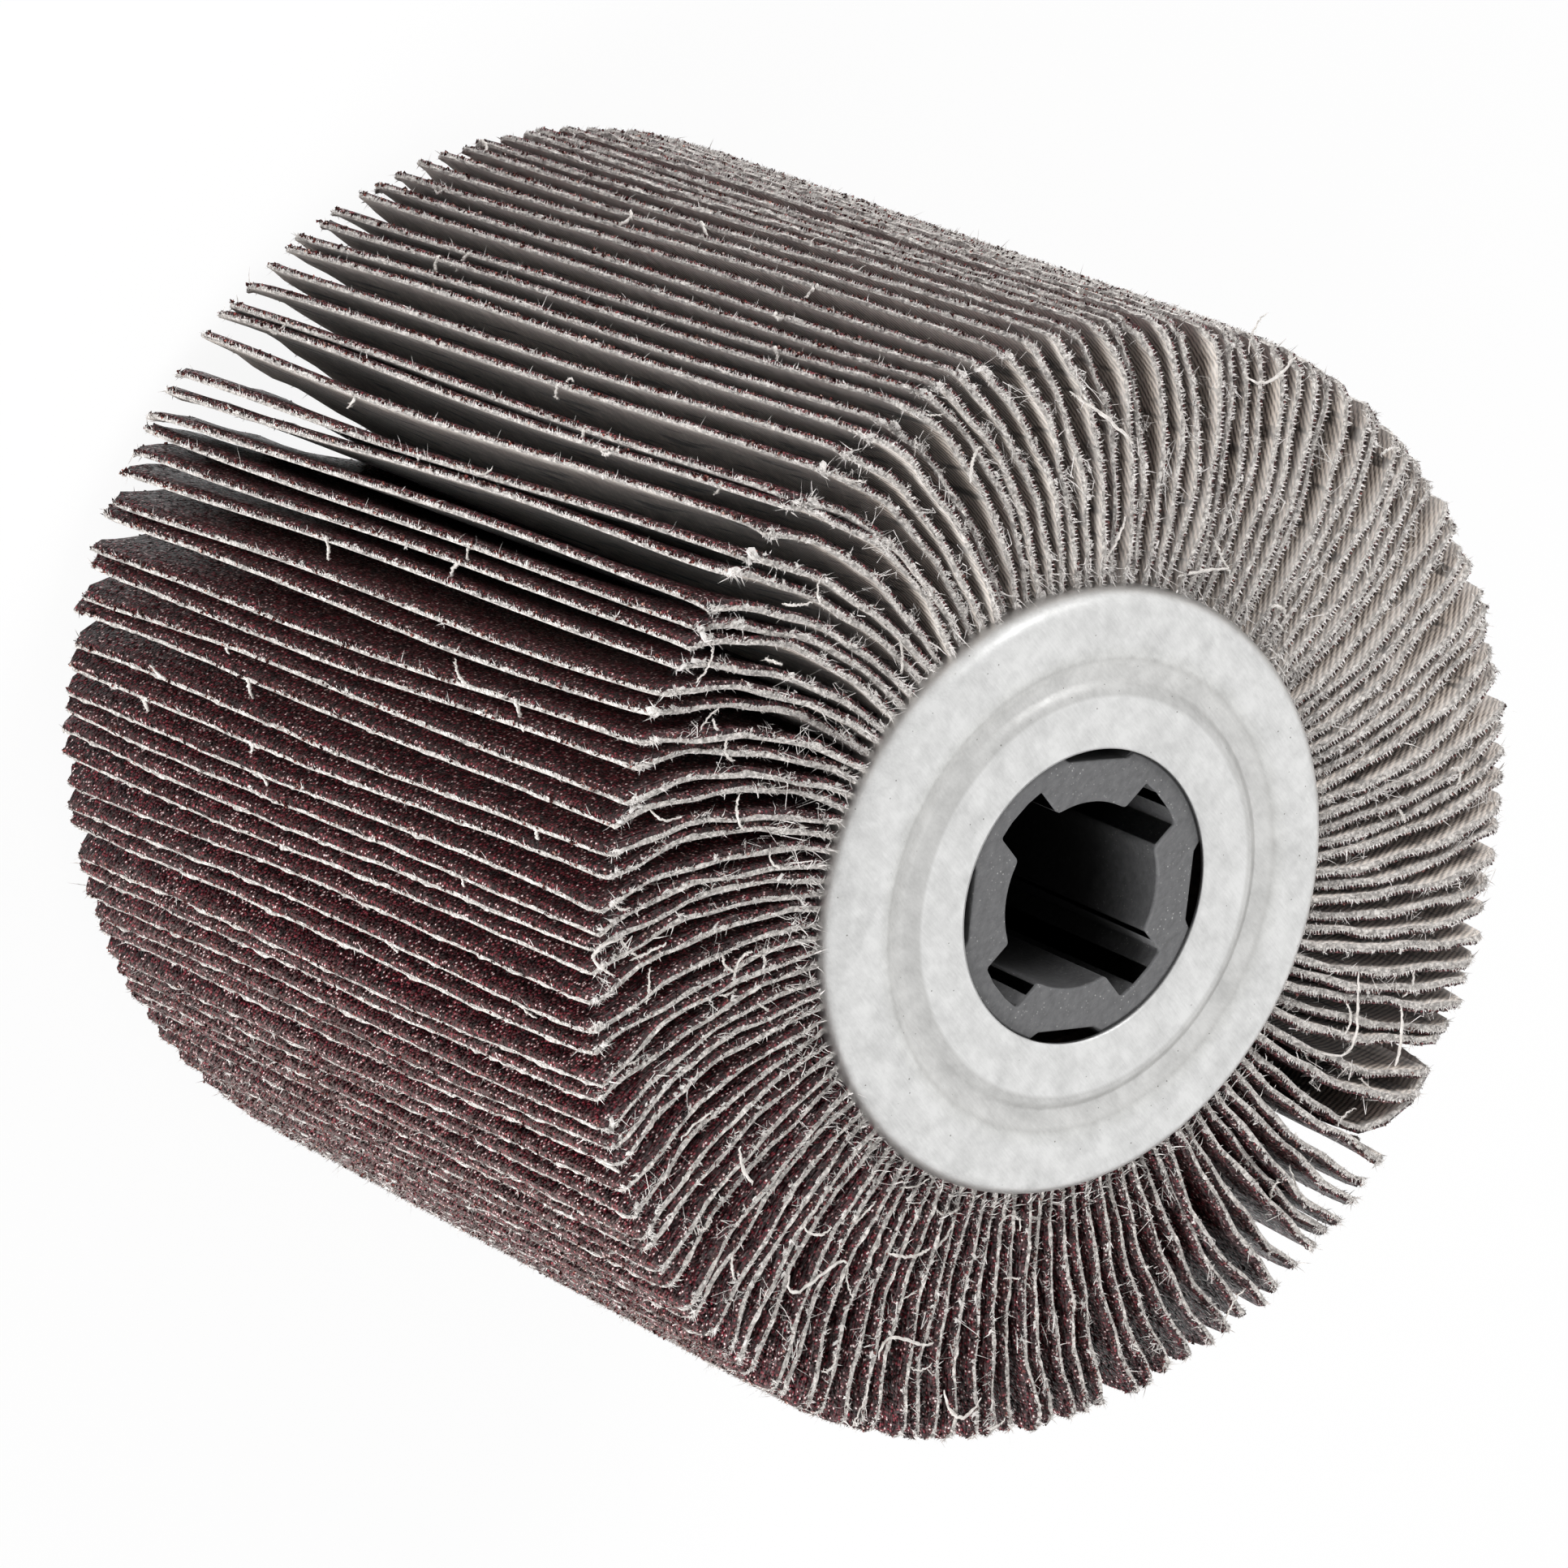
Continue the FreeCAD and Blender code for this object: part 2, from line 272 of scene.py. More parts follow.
@dataclass(frozen=True)
class TwillBacking:
    """Sized cotton and polyester twill, the back of the abrasive cloth.

    The eye gets fine diagonal ribs in a warm grey, a few creases darkened with painted shade, and a
    paler, lint-covered border along the cut edges, whose pale partly stands for painted light there.
    """

    # About 24 yarns and 16 ribs to the centimetre, which show as they are.
    rib: float = 0.62 * MM
    lean: float = math.radians(-54.6)
    yarn: float = 0.42 * MM
    relief: float = 0.1 * MM
    ground: tuple = ((0.32, "#6b6058"), (0.62, "#d8cabd"))
    # Creases about 1.6 mm across, darkened with painted shade.
    crease: float = 1.6 * MM
    crease_shade_tones: tuple = ((0.33, "#4a4643"), (0.43, "#ffffff"))
    crease_shade_share: float = 0.8
    # Lint lies on the last part below the tip, which stands so far out of the resin, and the front; this pale
    # band is partly real lint and partly painted light where those edges catch it.
    lint: str = "#ece7e2"
    tip: float = 26.8 * MM
    crest: float = 2.8 * MM
    front: float = 102.8 * MM
    border: float = 1.2 * MM

    def material(self) -> bpy.types.Material:
        """Makes the finish.

        Returns:
            The material.
        """
        material, tree, surface = new_material("twill_backing")
        cloth = node(tree, "UVMap", uv_map="cloth").outputs["UV"]
        turned = node(tree, "Mapping", {"Vector": cloth, "Rotation": (0, 0, self.lean)})
        # A wave texture of scale 1 repeats in pi / 10 of a unit.
        ribs = node(
            tree, "TexWave",
            {"Vector": turned, "Scale": math.pi / 10 / self.rib, "Distortion": 0.9, "Detail": 2.0},
        )
        across = node(
            tree, "TexWave", {"Vector": cloth, "Scale": math.pi / 10 / self.yarn, "Distortion": 1.5},
            bands_direction="Y",
        )
        # Dust lies in clouds about three ribs wide.
        dust = node(tree, "TexNoise", {"Vector": cloth, "Scale": 0.35 / self.rib, "Detail": 8.0})
        weave = node(tree, "Mix", {0: 0.3, 2: ribs.outputs["Fac"], 3: across.outputs["Fac"]})
        tone = node(tree, "Mix", {0: 0.5, 2: weave, 3: dust})
        ground = node(tree, "ValToRGB", {0: tone}, stops=self.ground)
        # Painted shade of creases: stretched noise darkens the ground along them.
        creased = node(tree, "Mapping", {"Vector": cloth, "Rotation": (0, 0, 0.9), "Scale": (1.0, 0.16, 1.0)})
        creases = node(
            tree, "TexNoise", {"Vector": creased, "Scale": 1 / self.crease, "Detail": 3.0, "Distortion": 0.5}
        )
        crease = node(tree, "ValToRGB", {0: creases}, stops=self.crease_shade_tones)
        with_crease_shade = node(
            tree, "Mix", {0: self.crease_shade_share, 6: ground, 7: crease}, data_type="RGBA", blend_type="MULTIPLY"
        )

        reach = node(tree, "SeparateXYZ", {0: cloth})
        near_tip = node(tree, "MapRange", {0: reach, 1: self.tip - self.crest, 2: self.tip, 3: 0.0, 4: 1.0})
        place = node(tree, "TexCoord").outputs["Object"]
        height = node(tree, "SeparateXYZ", {0: place}).outputs["Z"]
        near_front = node(
            tree, "MapRange", {0: height, 1: self.front - self.border, 2: self.front, 3: 0.0, 4: 1.0}
        )
        near = node(tree, "Math", {0: near_tip, 1: near_front}, operation="MAXIMUM")
        # Pale band near the tip and the front: partly real lint, partly painted light.
        lint_and_painted_light = node(tree, "Math", {0: near, 1: dust}, operation="MULTIPLY")
        colour = node(tree, "Mix", {0: lint_and_painted_light, 6: with_crease_shade, 7: linear(self.lint)}, data_type="RGBA")
        bump = node(tree, "Bump", {"Height": weave, "Distance": self.relief, "Strength": 0.6})
        feed(tree, surface, {"Base Color": colour, "Normal": bump, "Roughness": 0.9})
        feed(tree, surface, {"Specular IOR Level": 0.25, "Sheen Weight": 0.2})
        return material


@dataclass(frozen=True)
class FrayedFibre:
    """Cut and worn ends of the cloth's yarns.

    The eye gets soft pale grey lint, a little darker where resin and dust stay in it, and painted
    shade in the gaps between cut yarn ends.
    """

    name: str = "frayed_fibre"
    dark: str = "#a9a4a0"
    pale: str = "#e8e4e1"
    patch: float = 1.1 * MM
    yarn: float = 0.42 * MM
    # How much painted shade darkens the gaps between cut yarn ends.
    yarn_gap_shade: float = 0.0
    # Cotton fibres are about 0.02 mm, too fine to show: their fuzz is drawn at 0.16 mm.
    fuzz: float = 0.16 * MM
    relief: float = 0.12 * MM

    def material(self) -> bpy.types.Material:
        """Makes the finish.

        Returns:
            The material.
        """
        material, tree, surface = new_material(self.name)
        place = node(tree, "TexCoord").outputs["Object"]
        lint = node(
            tree, "TexNoise", {"Vector": place, "Scale": 1 / self.patch, "Detail": 6.0, "Roughness": 0.65}
        )
        colour = node(tree, "ValToRGB", {0: lint}, stops=[(0.32, self.dark), (0.6, self.pale)])
        # Painted shade: the borders between yarn ends are painted darker.
        ends = node(tree, "TexVoronoi", {"Vector": place, "Scale": 1 / self.yarn})
        painted_yarn_gap_shade = node(
            tree, "MapRange", {0: ends.outputs["Distance"], 1: 0.35, 2: 0.75, 3: 1.0, 4: 1 - self.yarn_gap_shade}
        )
        shaded = node(tree, "VectorMath", {0: colour, "Scale": painted_yarn_gap_shade}, operation="SCALE")
        fuzz = node(tree, "TexNoise", {"Vector": place, "Scale": 1 / self.fuzz, "Detail": 3.0})
        bump = node(tree, "Bump", {"Height": fuzz, "Distance": self.relief, "Strength": 0.7})
        feed(tree, surface, {"Base Color": shaded, "Normal": bump, "Roughness": 0.95})
        feed(tree, surface, {"Specular IOR Level": 0.25, "Sheen Weight": 0.2})
        return material


@dataclass(frozen=True)
class RolledSheet:
    """Zinc-plated rolled steel sheet, pressed and left bare.

    The eye gets a dull pale grey with soft reflections, fine scratches both ways, faint clouds in
    the zinc, small dark specks of grime and painted shade across the pressed groove.
    """

    dull: str = "#d3d3d2"
    clean: str = "#ebebea"
    cloud: float = 2.6 * MM
    # Scratches are some hundredths of a millimetre wide: drawn at 0.22 mm so that they show.
    scratch: float = 0.22 * MM
    scratch_ways: tuple = ((0.7, 0.12), (2.2, 0.15))
    scratch_share: float = 0.35
    scratch_relief: float = 0.006 * MM
    speck_pitch: float = 1.7 * MM
    speck_patch: float = 4.0 * MM
    speck_tones: tuple = ((0.05, "#77736e"), (0.11, "#ffffff"))
    # Painted shade across the pressed groove, from its inner to its outer side, with an uneven border.
    groove: tuple = (20.0 * MM, 28.0 * MM)
    shade_border_wobble: float = 0.5 * MM
    painted_groove_shade: tuple = (
        (0.18, "#ffffff"), (0.23, "#cdccca"), (0.4, "#dad9d7"), (0.62, "#e9e8e6"), (0.68, "#d2d1ce"),
        (0.74, "#f2f2f0"), (0.9, "#ffffff"),
    )

    def material(self) -> bpy.types.Material:
        """Makes the finish.

        Returns:
            The material.
        """
        material, tree, surface = new_material("rolled_sheet")
        place = node(tree, "TexCoord").outputs["Object"]
        scratches = []
        for turn, thin in self.scratch_ways:
            drawn = node(
                tree, "Mapping", {"Vector": place, "Scale": (thin, 1.0, 1.0), "Rotation": (0, 0, turn)}
            )
            lines = {"Vector": drawn, "Scale": 1 / self.scratch, "Detail": 3.0, "Roughness": 0.6}
            scratches.append(node(tree, "TexNoise", lines))
        both = node(tree, "Mix", {0: 0.5, 2: scratches[0], 3: scratches[1]})
        zinc = node(
            tree, "TexNoise", {"Vector": place, "Scale": 1 / self.cloud, "Detail": 9.0, "Roughness": 0.62}
        )
        tone = node(tree, "Mix", {0: self.scratch_share, 2: zinc, 3: both})
        colour = node(tree, "ValToRGB", {0: tone}, stops=[(0.36, self.dull), (0.6, self.clean)])
        specks = node(tree, "TexVoronoi", {"Vector": place, "Scale": 1 / self.speck_pitch})
        reach = node(tree, "TexNoise", {"Vector": place, "Scale": 1 / self.speck_patch, "Detail": 2.0})
        near = node(tree, "Math", {0: specks.outputs["Distance"], 1: reach}, operation="DIVIDE")
        spot = node(tree, "ValToRGB", {0: near}, stops=self.speck_tones)
        dotted = node(tree, "Mix", {0: 0.8, 6: colour, 7: spot}, data_type="RGBA", blend_type="MULTIPLY")

        flat = node(tree, "VectorMath", {0: place, 1: (1.0, 1.0, 0.0)}, operation="MULTIPLY")
        away = node(tree, "VectorMath", {0: flat}, operation="LENGTH")
        uneven = node(tree, "Math", {0: zinc, 1: self.shade_border_wobble, 2: away}, operation="MULTIPLY_ADD")
        inner, outer = self.groove
        across = node(tree, "MapRange", {0: uneven, 1: inner, 2: outer, 3: 0.0, 4: 1.0})
        # Painted shade: a ring across the groove is multiplied into the colour.
        groove_shade = node(tree, "ValToRGB", {0: across}, stops=self.painted_groove_shade)
        with_groove_shade = node(tree, "Mix", {0: 0.5, 6: dotted, 7: groove_shade}, data_type="RGBA", blend_type="MULTIPLY")
        gloss = node(tree, "MapRange", {0: tone, 1: 0.35, 2: 0.65, 3: 0.48, 4: 0.36})
        bump = node(tree, "Bump", {"Height": both, "Distance": self.scratch_relief, "Strength": 0.8})
        feed(tree, surface, {"Base Color": with_groove_shade, "Roughness": gloss, "Normal": bump, "Metallic": 1.0})
        return material


@dataclass(frozen=True)
class MouldedNylon:
    """Glass-filled nylon, moulded with a fine grain.

    The eye gets a dark neutral grey with a soft satin light, fine clouds of glass fibre, pale dust
    in patches, and a bore that is painted darker past its mouth, as painted shade deep inside it.
    """

    # Glass fibres are about 0.01 mm thick: only the clouds that they make are drawn.
    cloud: float = 0.7 * MM
    body: tuple = ((0.32, "#5c5c5d"), (0.7, "#737374"))
    # The mould's grain is finer than 0.1 mm: drawn at 0.35 mm so that it shows.
    grain: float = 0.35 * MM
    relief: float = 0.05 * MM
    # Dust is finer than the render shows: drawn as one speck in each 0.5 mm.
    speck: float = 0.5 * MM
    dust: tuple = ((0.1, "#8f8d8b"), (0.22, "#000000"))
    dust_patch: float = 3.0 * MM
    # Half the hub's length, and how far from its middle the painted shade in the bore starts.
    middle: float = 52.8 * MM
    painted_shade_from: float = 42.0 * MM
    deepest_painted_shade: float = 0.22

    def material(self) -> bpy.types.Material:
        """Makes the finish.

        Returns:
            The material.
        """
        material, tree, surface = new_material("moulded_nylon")
        place = node(tree, "TexCoord").outputs["Object"]
        grain = node(tree, "TexNoise", {"Vector": place, "Scale": 1 / self.grain, "Detail": 3.0})
        drawn = node(tree, "Mapping", {"Vector": place, "Scale": (1.0, 0.55, 1.0), "Rotation": (0, 0, 0.5)})
        fibre = node(
            tree, "TexNoise", {"Vector": drawn, "Scale": 1 / self.cloud, "Detail": 6.0, "Roughness": 0.7}
        )
        body = node(tree, "ValToRGB", {0: fibre}, stops=self.body)
        specks = node(tree, "TexVoronoi", {"Vector": place, "Scale": 1 / self.speck})
        dust = node(tree, "ValToRGB", {0: specks.outputs["Distance"]}, stops=self.dust)
        patches = node(tree, "TexNoise", {"Vector": place, "Scale": 1 / self.dust_patch, "Detail": 3.0})
        dusted = node(tree, "MapRange", {0: patches, 1: 0.45, 2: 0.62, 3: 0.12, 4: 1.0})
        colour = node(tree, "Mix", {0: dusted, 6: body, 7: dust}, data_type="RGBA", blend_type="ADD")
        height = node(tree, "SeparateXYZ", {0: place}).outputs["Z"]
        offset = node(tree, "Math", {0: height, 1: self.middle}, operation="SUBTRACT")
        outward = node(tree, "Math", {0: offset}, operation="ABSOLUTE")
        # Painted shade: the colour darkens toward the bore's depth, down to the deepest share.
        clean = node(
            tree, "MapRange", {0: outward, 1: self.painted_shade_from, 2: self.middle, 3: self.deepest_painted_shade, 4: 1.0}
        )
        shaded = node(tree, "VectorMath", {0: colour, "Scale": clean}, operation="SCALE")
        bump = node(tree, "Bump", {"Height": grain, "Distance": self.relief, "Strength": 0.6})
        feed(tree, surface, {"Base Color": shaded, "Normal": bump, "Roughness": 0.55})
        feed(tree, surface, {"Specular IOR Level": 0.3, "IOR": 1.53})
        return material


@dataclass(frozen=True)
class BondedResin:
    """Filled epoxy resin that holds the roots of the flaps.

    The eye gets a dark brown, dull ground deep between the flaps.
    """

    cloud: float = 0.8 * MM
    body: tuple = ((0.35, "#241c1b"), (0.65, "#463a36"))

    def material(self) -> bpy.types.Material:
        """Makes the finish.

        Returns:
            The material.
        """
        material, tree, surface = new_material("bonded_resin")
        place = node(tree, "TexCoord").outputs["Object"]
        cloud = node(tree, "TexNoise", {"Vector": place, "Scale": 1 / self.cloud, "Detail": 4.0})
        colour = node(tree, "ValToRGB", {0: cloud}, stops=self.body)
        feed(tree, surface, {"Base Color": colour, "Roughness": 0.7})
        return material


@dataclass(frozen=True)
class PaleFloor:
    """Matt white board that the wheel stands on.

    The eye gets a white ground with a soft shadow. Cameras, gloss and glass see it nearly as bright
    as paper, apart from the spot under the bore, which no light reaches. Its back is clear, so the
    wheel can be looked at from below.
    """

    paint: str = "#f2f2f2"
    whitened: float = 0.92
    # Black up to the first radius, under the bore, and white from the second.
    dark_spot: tuple = (16 * MM, 30 * MM)

    def material(self) -> bpy.types.Material:
        """Makes the finish.

        Returns:
            The material.
        """
        material, tree, surface = new_material("pale_floor")
        feed(tree, surface, {"Base Color": linear(self.paint), "Roughness": 0.9})
        shown = seen_directly(tree)[1]
        place = node(tree, "TexCoord").outputs["Object"]
        away = node(tree, "VectorMath", {0: place}, operation="LENGTH")
        inner, outer = self.dark_spot
        clear = node(tree, "MapRange", {0: away, 1: inner, 2: outer, 3: 0.0, 4: self.whitened})
        share = node(tree, "Math", {0: shown, 1: clear}, operation="MULTIPLY")
        glow = node(tree, "Emission", {"Color": (1, 1, 1, 1), "Strength": 1.0})
        mixed = node(tree, "MixShader", {0: share, 1: surface, 2: glow})
        below = node(tree, "NewGeometry").outputs["Backfacing"]
        board = node(tree, "MixShader", {0: below, 1: mixed, 2: node(tree, "BsdfTransparent")})
        feed(tree, tree.nodes["Material Output"], {"Surface": board})
        return material


@dataclass
class MeshParts:
    """Vertices and faces that are gathered before they become one mesh."""

    points: list = field(default_factory=list)
    faces: list = field(default_factory=list)
    finishes: list = field(default_factory=list)
    smooth: list = field(default_factory=list)
    maps: list = field(default_factory=list)
    total: int = 0

    def add(
        self, points: np.ndarray, faces: np.ndarray, finish: int = 0, smooth: bool = False,
        uv: np.ndarray | None = None,
    ) -> None:
        """Adds points and the faces between them.

        Args:
            points: places, one row each.
            faces: numbers of each face's points, all faces with the same number of sides.
            finish: the number of the material.
            smooth: whether the faces are shaded as one curve.
            uv: the place of each point on the flat cloth.
        """
        self.points.append(points.reshape(-1, 3))
        self.faces.append(faces.reshape(-1, faces.shape[-1]) + self.total)
        rows = self.faces[-1].shape[0]
        self.finishes.append(np.full(rows, finish, np.int32))
        self.smooth.append(np.full(rows, smooth, bool))
        count = self.points[-1].shape[0]
        self.maps.append(np.zeros((count, 2)) if uv is None else uv.reshape(-1, 2))
        self.total += count

    def add_faces(self, faces: np.ndarray, finish: int = 0) -> None:
        """Adds more faces between points that are there already.

        Args:
            faces: numbers of each face's points among all points.
            finish: the number of the material.
        """
        self.faces.append(faces)
        self.finishes.append(np.full(len(faces), finish, np.int32))
        self.smooth.append(np.zeros(len(faces), bool))

    def piece(self, name: str, materials: list, mapped: bool = False) -> bpy.types.Object:
        """Makes the object.

        Args:
            name: its name.
            materials: its materials in the order of their numbers.
            mapped: whether the places on the flat cloth are kept.

        Returns:
            The object.
        """
        points = np.concatenate(self.points)
        sides = np.concatenate([np.full(len(f), f.shape[1], np.int32) for f in self.faces])
        corners = np.concatenate([f.ravel() for f in self.faces]).astype(np.int32)
        mesh = bpy.data.meshes.new(name)
        mesh.vertices.add(len(points))
        mesh.vertices.foreach_set("co", points.astype(np.float32).ravel())
        mesh.loops.add(len(corners))
        mesh.loops.foreach_set("vertex_index", corners)
        mesh.polygons.add(len(sides))
        mesh.polygons.foreach_set("loop_start", np.concatenate([[0], np.cumsum(sides)[:-1]]).astype(np.int32))
        mesh.polygons.foreach_set("loop_total", sides)
        mesh.polygons.foreach_set("material_index", np.concatenate(self.finishes))
        mesh.polygons.foreach_set("use_smooth", np.concatenate(self.smooth))
        if mapped:
            layer = mesh.uv_layers.new(name="cloth")
            flat = np.concatenate(self.maps)[corners]
            layer.data.foreach_set("uv", flat.astype(np.float32).ravel())
        mesh.update()
        mesh.validate()
        made = bpy.data.objects.new(name, mesh)
        bpy.context.scene.collection.objects.link(made)
        for material in materials:
            mesh.materials.append(material)
        return made


def unit(vectors: np.ndarray) -> np.ndarray:
    """Vectors made one long."""
    return vectors / np.maximum(np.linalg.norm(vectors, axis=-1, keepdims=True), 1e-12)


def strands(
    parts: MeshParts, roots: np.ndarray, ways: np.ndarray, lengths: np.ndarray, widths: np.ndarray,
    curls: np.ndarray, joints: int, beside: np.ndarray, wobble: np.ndarray | None = None,
) -> None:
    """Adds flat tapering fibres.

    Args:
        parts: what gets them.
        roots: where each starts.
        ways: the way in which each leaves.
        lengths: their lengths.
        widths: their widths at the root.
        curls: how far the tip of each leaves the straight line, as a vector.
        joints: lengths that each is made of.
        beside: a vector for each that its width stands square to.
        wobble: how far each joint after the first strays, by fibre and joint.
    """
    taper = 0.6
    roots, ways, curls, beside = (array.reshape(-1, 3) for array in (roots, ways, curls, beside))
    lengths, widths = lengths.reshape(-1, 1), widths.reshape(-1, 1)
    across = unit(np.cross(ways, beside)) * widths / 2
    rows = []
    for joint in range(joints):
        share = joint / joints
        centre = roots + ways * lengths * share + curls * share**2
        if wobble is not None and joint:
            centre = centre + wobble[:, joint - 1]
        half = across * (1 - taper * share)
        rows += [centre - half, centre + half]
    rows.append(roots + ways * lengths + curls)
    points = np.stack(rows, axis=1)
    points[..., 2] = np.maximum(points[..., 2], LOWEST)
    base = np.arange(len(roots))[:, None] * points.shape[1]
    start = parts.total
    last = 2 * joints
    parts.add(points, base + np.array([[last - 2, last - 1, last]]))
    if joints > 1:
        quads = [base + np.array([[2 * k, 2 * k + 1, 2 * k + 3, 2 * k + 2]]) for k in range(joints - 1)]
        parts.add_faces(np.concatenate(quads) + start)


def lumps(parts: MeshParts, centres: np.ndarray, axes: np.ndarray, chance: np.random.Generator) -> None:
    """Adds small uneven lumps: icosahedra whose corners are pushed in and out.

    Args:
        parts: what gets them.
        centres: their centres.
        axes: the three half-axes of each, as the rows of a matrix.
        chance: where their unevenness comes from.
    """
    least, most = 0.6, 1.25
    long = (1 + math.sqrt(5)) / 2
    corners = np.array(
        [
            (-1, long, 0), (1, long, 0), (-1, -long, 0), (1, -long, 0), (0, -1, long), (0, 1, long),
            (0, -1, -long), (0, 1, -long), (long, 0, -1), (long, 0, 1), (-long, 0, -1), (-long, 0, 1),
        ]
    )
    sides = np.array(
        [
            (0, 11, 5), (0, 5, 1), (0, 1, 7), (0, 7, 10), (0, 10, 11), (1, 5, 9), (5, 11, 4), (11, 10, 2),
            (10, 7, 6), (7, 1, 8), (3, 9, 4), (3, 4, 2), (3, 2, 6), (3, 6, 8), (3, 8, 9), (4, 9, 5),
            (2, 4, 11), (6, 2, 10), (8, 6, 7), (9, 8, 1),
        ]
    )
    count = len(centres)
    size = chance.uniform(least, most, (count, len(corners), 1))
    points = centres[:, None] + (unit(corners)[None] * size) @ axes
    points[..., 2] = np.maximum(points[..., 2], LOWEST)
    parts.add(points, np.arange(count)[:, None, None] * len(corners) + sides[None], 0, True)


@dataclass(frozen=True)
class Fray:
    """One kind of fibre that grows from a cut edge.

    A cotton fibre is about 0.02 mm thick, too fine to show in the render, so each one that is drawn
    stands for a tuft and is 0.1 to 0.16 mm wide at its root.
    """

    each: int  # fibres on each flap
    lean: tuple  # mean way out, as shares of the axis, the way up the flap and the cloth's own side
    spread: tuple  # chance in each of them
    length: float  # middle length
    varies: float  # how much the length varies, as a share
    width: float  # width at the root
    joints: int = 1  # lengths that each is made of


@dataclass
class FlapRing:
    """The abrasive cloth flaps: bent sheets of cloth and grit with frayed edges.

    Angles are in degrees. A tuple of pairs that is named for a thing which changes round the wheel
    gives clock angles, as the front is seen, and the value at each. A field that starts with own_
    is chance in each single flap: its spread, and the most that it may be.
    """

    count: int = 136
    tip_radius: float = 60.0 * MM
    resin_radius: float = 33.2 * MM
    hidden_root: float = 0.8 * MM
    base: float = 2.8 * MM
    width: float = 100.0 * MM
    cloth: float = 0.6 * MM
    grit: float = 0.4 * MM
    yarn: float = 0.42 * MM
    # The tips trail the roots by the sweep, which swings round the wheel. At the parting the last
    # flap lies over its neighbours, and the flaps before it stand more upright. Some flaps under
    # the last one are held down by it: how many, and how far.
    sweep: float = 7.2
    swing: float = 2.4
    swing_direction: float = 161.0
    parting: float = 8.0
    laid_over: float = 2.6
    laid_over_reach: float = 11.0
    last_turn: float = 12.2
    last_curl: float = 8.0
    upright: float = 1.8
    upright_reach: float = 20.0
    held_down: tuple = (3, 0.8 * MM)
    # A gap opens between two flaps, wider at the rear.
    opening: float = 176.0
    opening_front: float = 1.2
    opening_rear: float = 2.6
    opening_reach: float = 9.0
    # The curl is the power of the height by which a flap bends, so a high one bends near its tip.
    # It is tight in one part of the wheel, and low in another, whose tips stand upright.
    curl: float = 1.7
    tight_curl: float = 0.8
    tight_curl_at: float = 118.0
    tight_curl_reach: float = 14.0
    upright_tips_at: float = 180.0
    upright_tips_reach: float = 26.0
    upright_tips_curl: float = 0.6
    # The rear trails the front by the twist. No two tips stand closer than the least gap. Flaps
    # sway and ripple with their neighbours, and their ends lean this way and that.
    twist: float = 3.8
    least_gap: float = 1.15
    sway: float = 0.6
    ripple: float = 0.14 * MM
    end_lean: float = 0.4 * MM
    own_turn: tuple = (0.38, 0.8)
    own_slant: tuple = (0.22, 0.5)
    own_curl: tuple = (0.16, 0.4)
    own_bow: tuple = (0.26 * MM, 0.442 * MM)
    own_end: tuple = (0.24 * MM, 0.5 * MM)
    # Points up each flap; a row of them stands at each of the heights along the wheel. The cut
    # edges have their own points along the rear, the tip and the front.
    up: int = 11
    edge_points: tuple = (20, 124, 46)
    # A cut edge's crest: how far across the cloth it runs, as a share, and how far it stands out,
    # each with its chance.
    crest_across: tuple = (0.45, 0.14)
    crest_out: tuple = (0.14, 0.12)
    # Wear: the grit ends short of the cloth, the tips are worn in waves, the corners are rounded.
    grit_wear: float = 0.38 * MM
    end_grit_share: float = 0.6
    tip_wear: float = 0.12 * MM
    end_wave: float = 0.2 * MM
    corner_wear: tuple = (0.25 * MM, 0.85 * MM)
    corner_round: float = 0.2
    # The clock angle of the x axis.
    twelve_o_clock: float = 131.0
    # How thick the cut edge of the cloth looks, as a share of the cloth, at the front and the tip,
    # how long the stubs of yarn are, and how much matted lint, how big the knots at the corners,
    # how long the fringe, how many tufts of fluff and how high the beaded grit there is.
    cut_width: tuple = (
        (0, 0.85), (60, 1.1), (110, 1.1), (132, 0.8), (155, 0.66), (190, 0.7), (215, 1.0), (245, 0.85),
        (290, 0.95), (325, 0.85),
    )
    tip_width: tuple = ((190, 1.4), (238, 1.5), (262, 1.05), (300, 0.65), (340, 0.65), (20, 1.0))
    tooth_length: tuple = ((0, 1.2), (60, 1.3), (115, 1.1), (135, 0.55), (200, 0.5), (290, 0.65), (330, 1.2))
    matting: tuple = (
        (0, 1.1), (60, 0.7), (125, 0.7), (160, 0.8), (200, 1.0), (260, 1.0), (300, 1.3), (330, 1.4)
    )
    knotting: tuple = (
        (0, 0.7), (60, 0.5), (112, 0.7), (120, 1.6), (128, 1.3), (140, 0.6), (200, 0.8), (250, 1.3),
        (310, 1.8), (345, 1.2),
    )
    fringe: tuple = ((180, 1.0), (210, 1.5), (240, 1.5), (262, 1.2), (290, 1.0))
    fluff: tuple = ((190, 2), (212, 16), (232, 14), (250, 5), (275, 2))
    beading: tuple = ((268, 0.0), (290, 0.3 * MM), (340, 0.3 * MM), (0, 0.1 * MM), (30, 0.0))
    bead_height: float = 0.3 * MM
    bead_pitch: float = 1.7 * MM
    # Stubs of cut yarn: their length, width as a share of the yarn's spacing, how far they start
    # off the seam and ahead of the edge, and their lean ahead.
    tooth: tuple = (0.3 * MM, 0.5 * MM)
    tooth_width: tuple = (0.45, 0.75)
    tooth_start: tuple = (0.18 * MM, 0.08 * MM)
    tooth_lean: float = 0.45
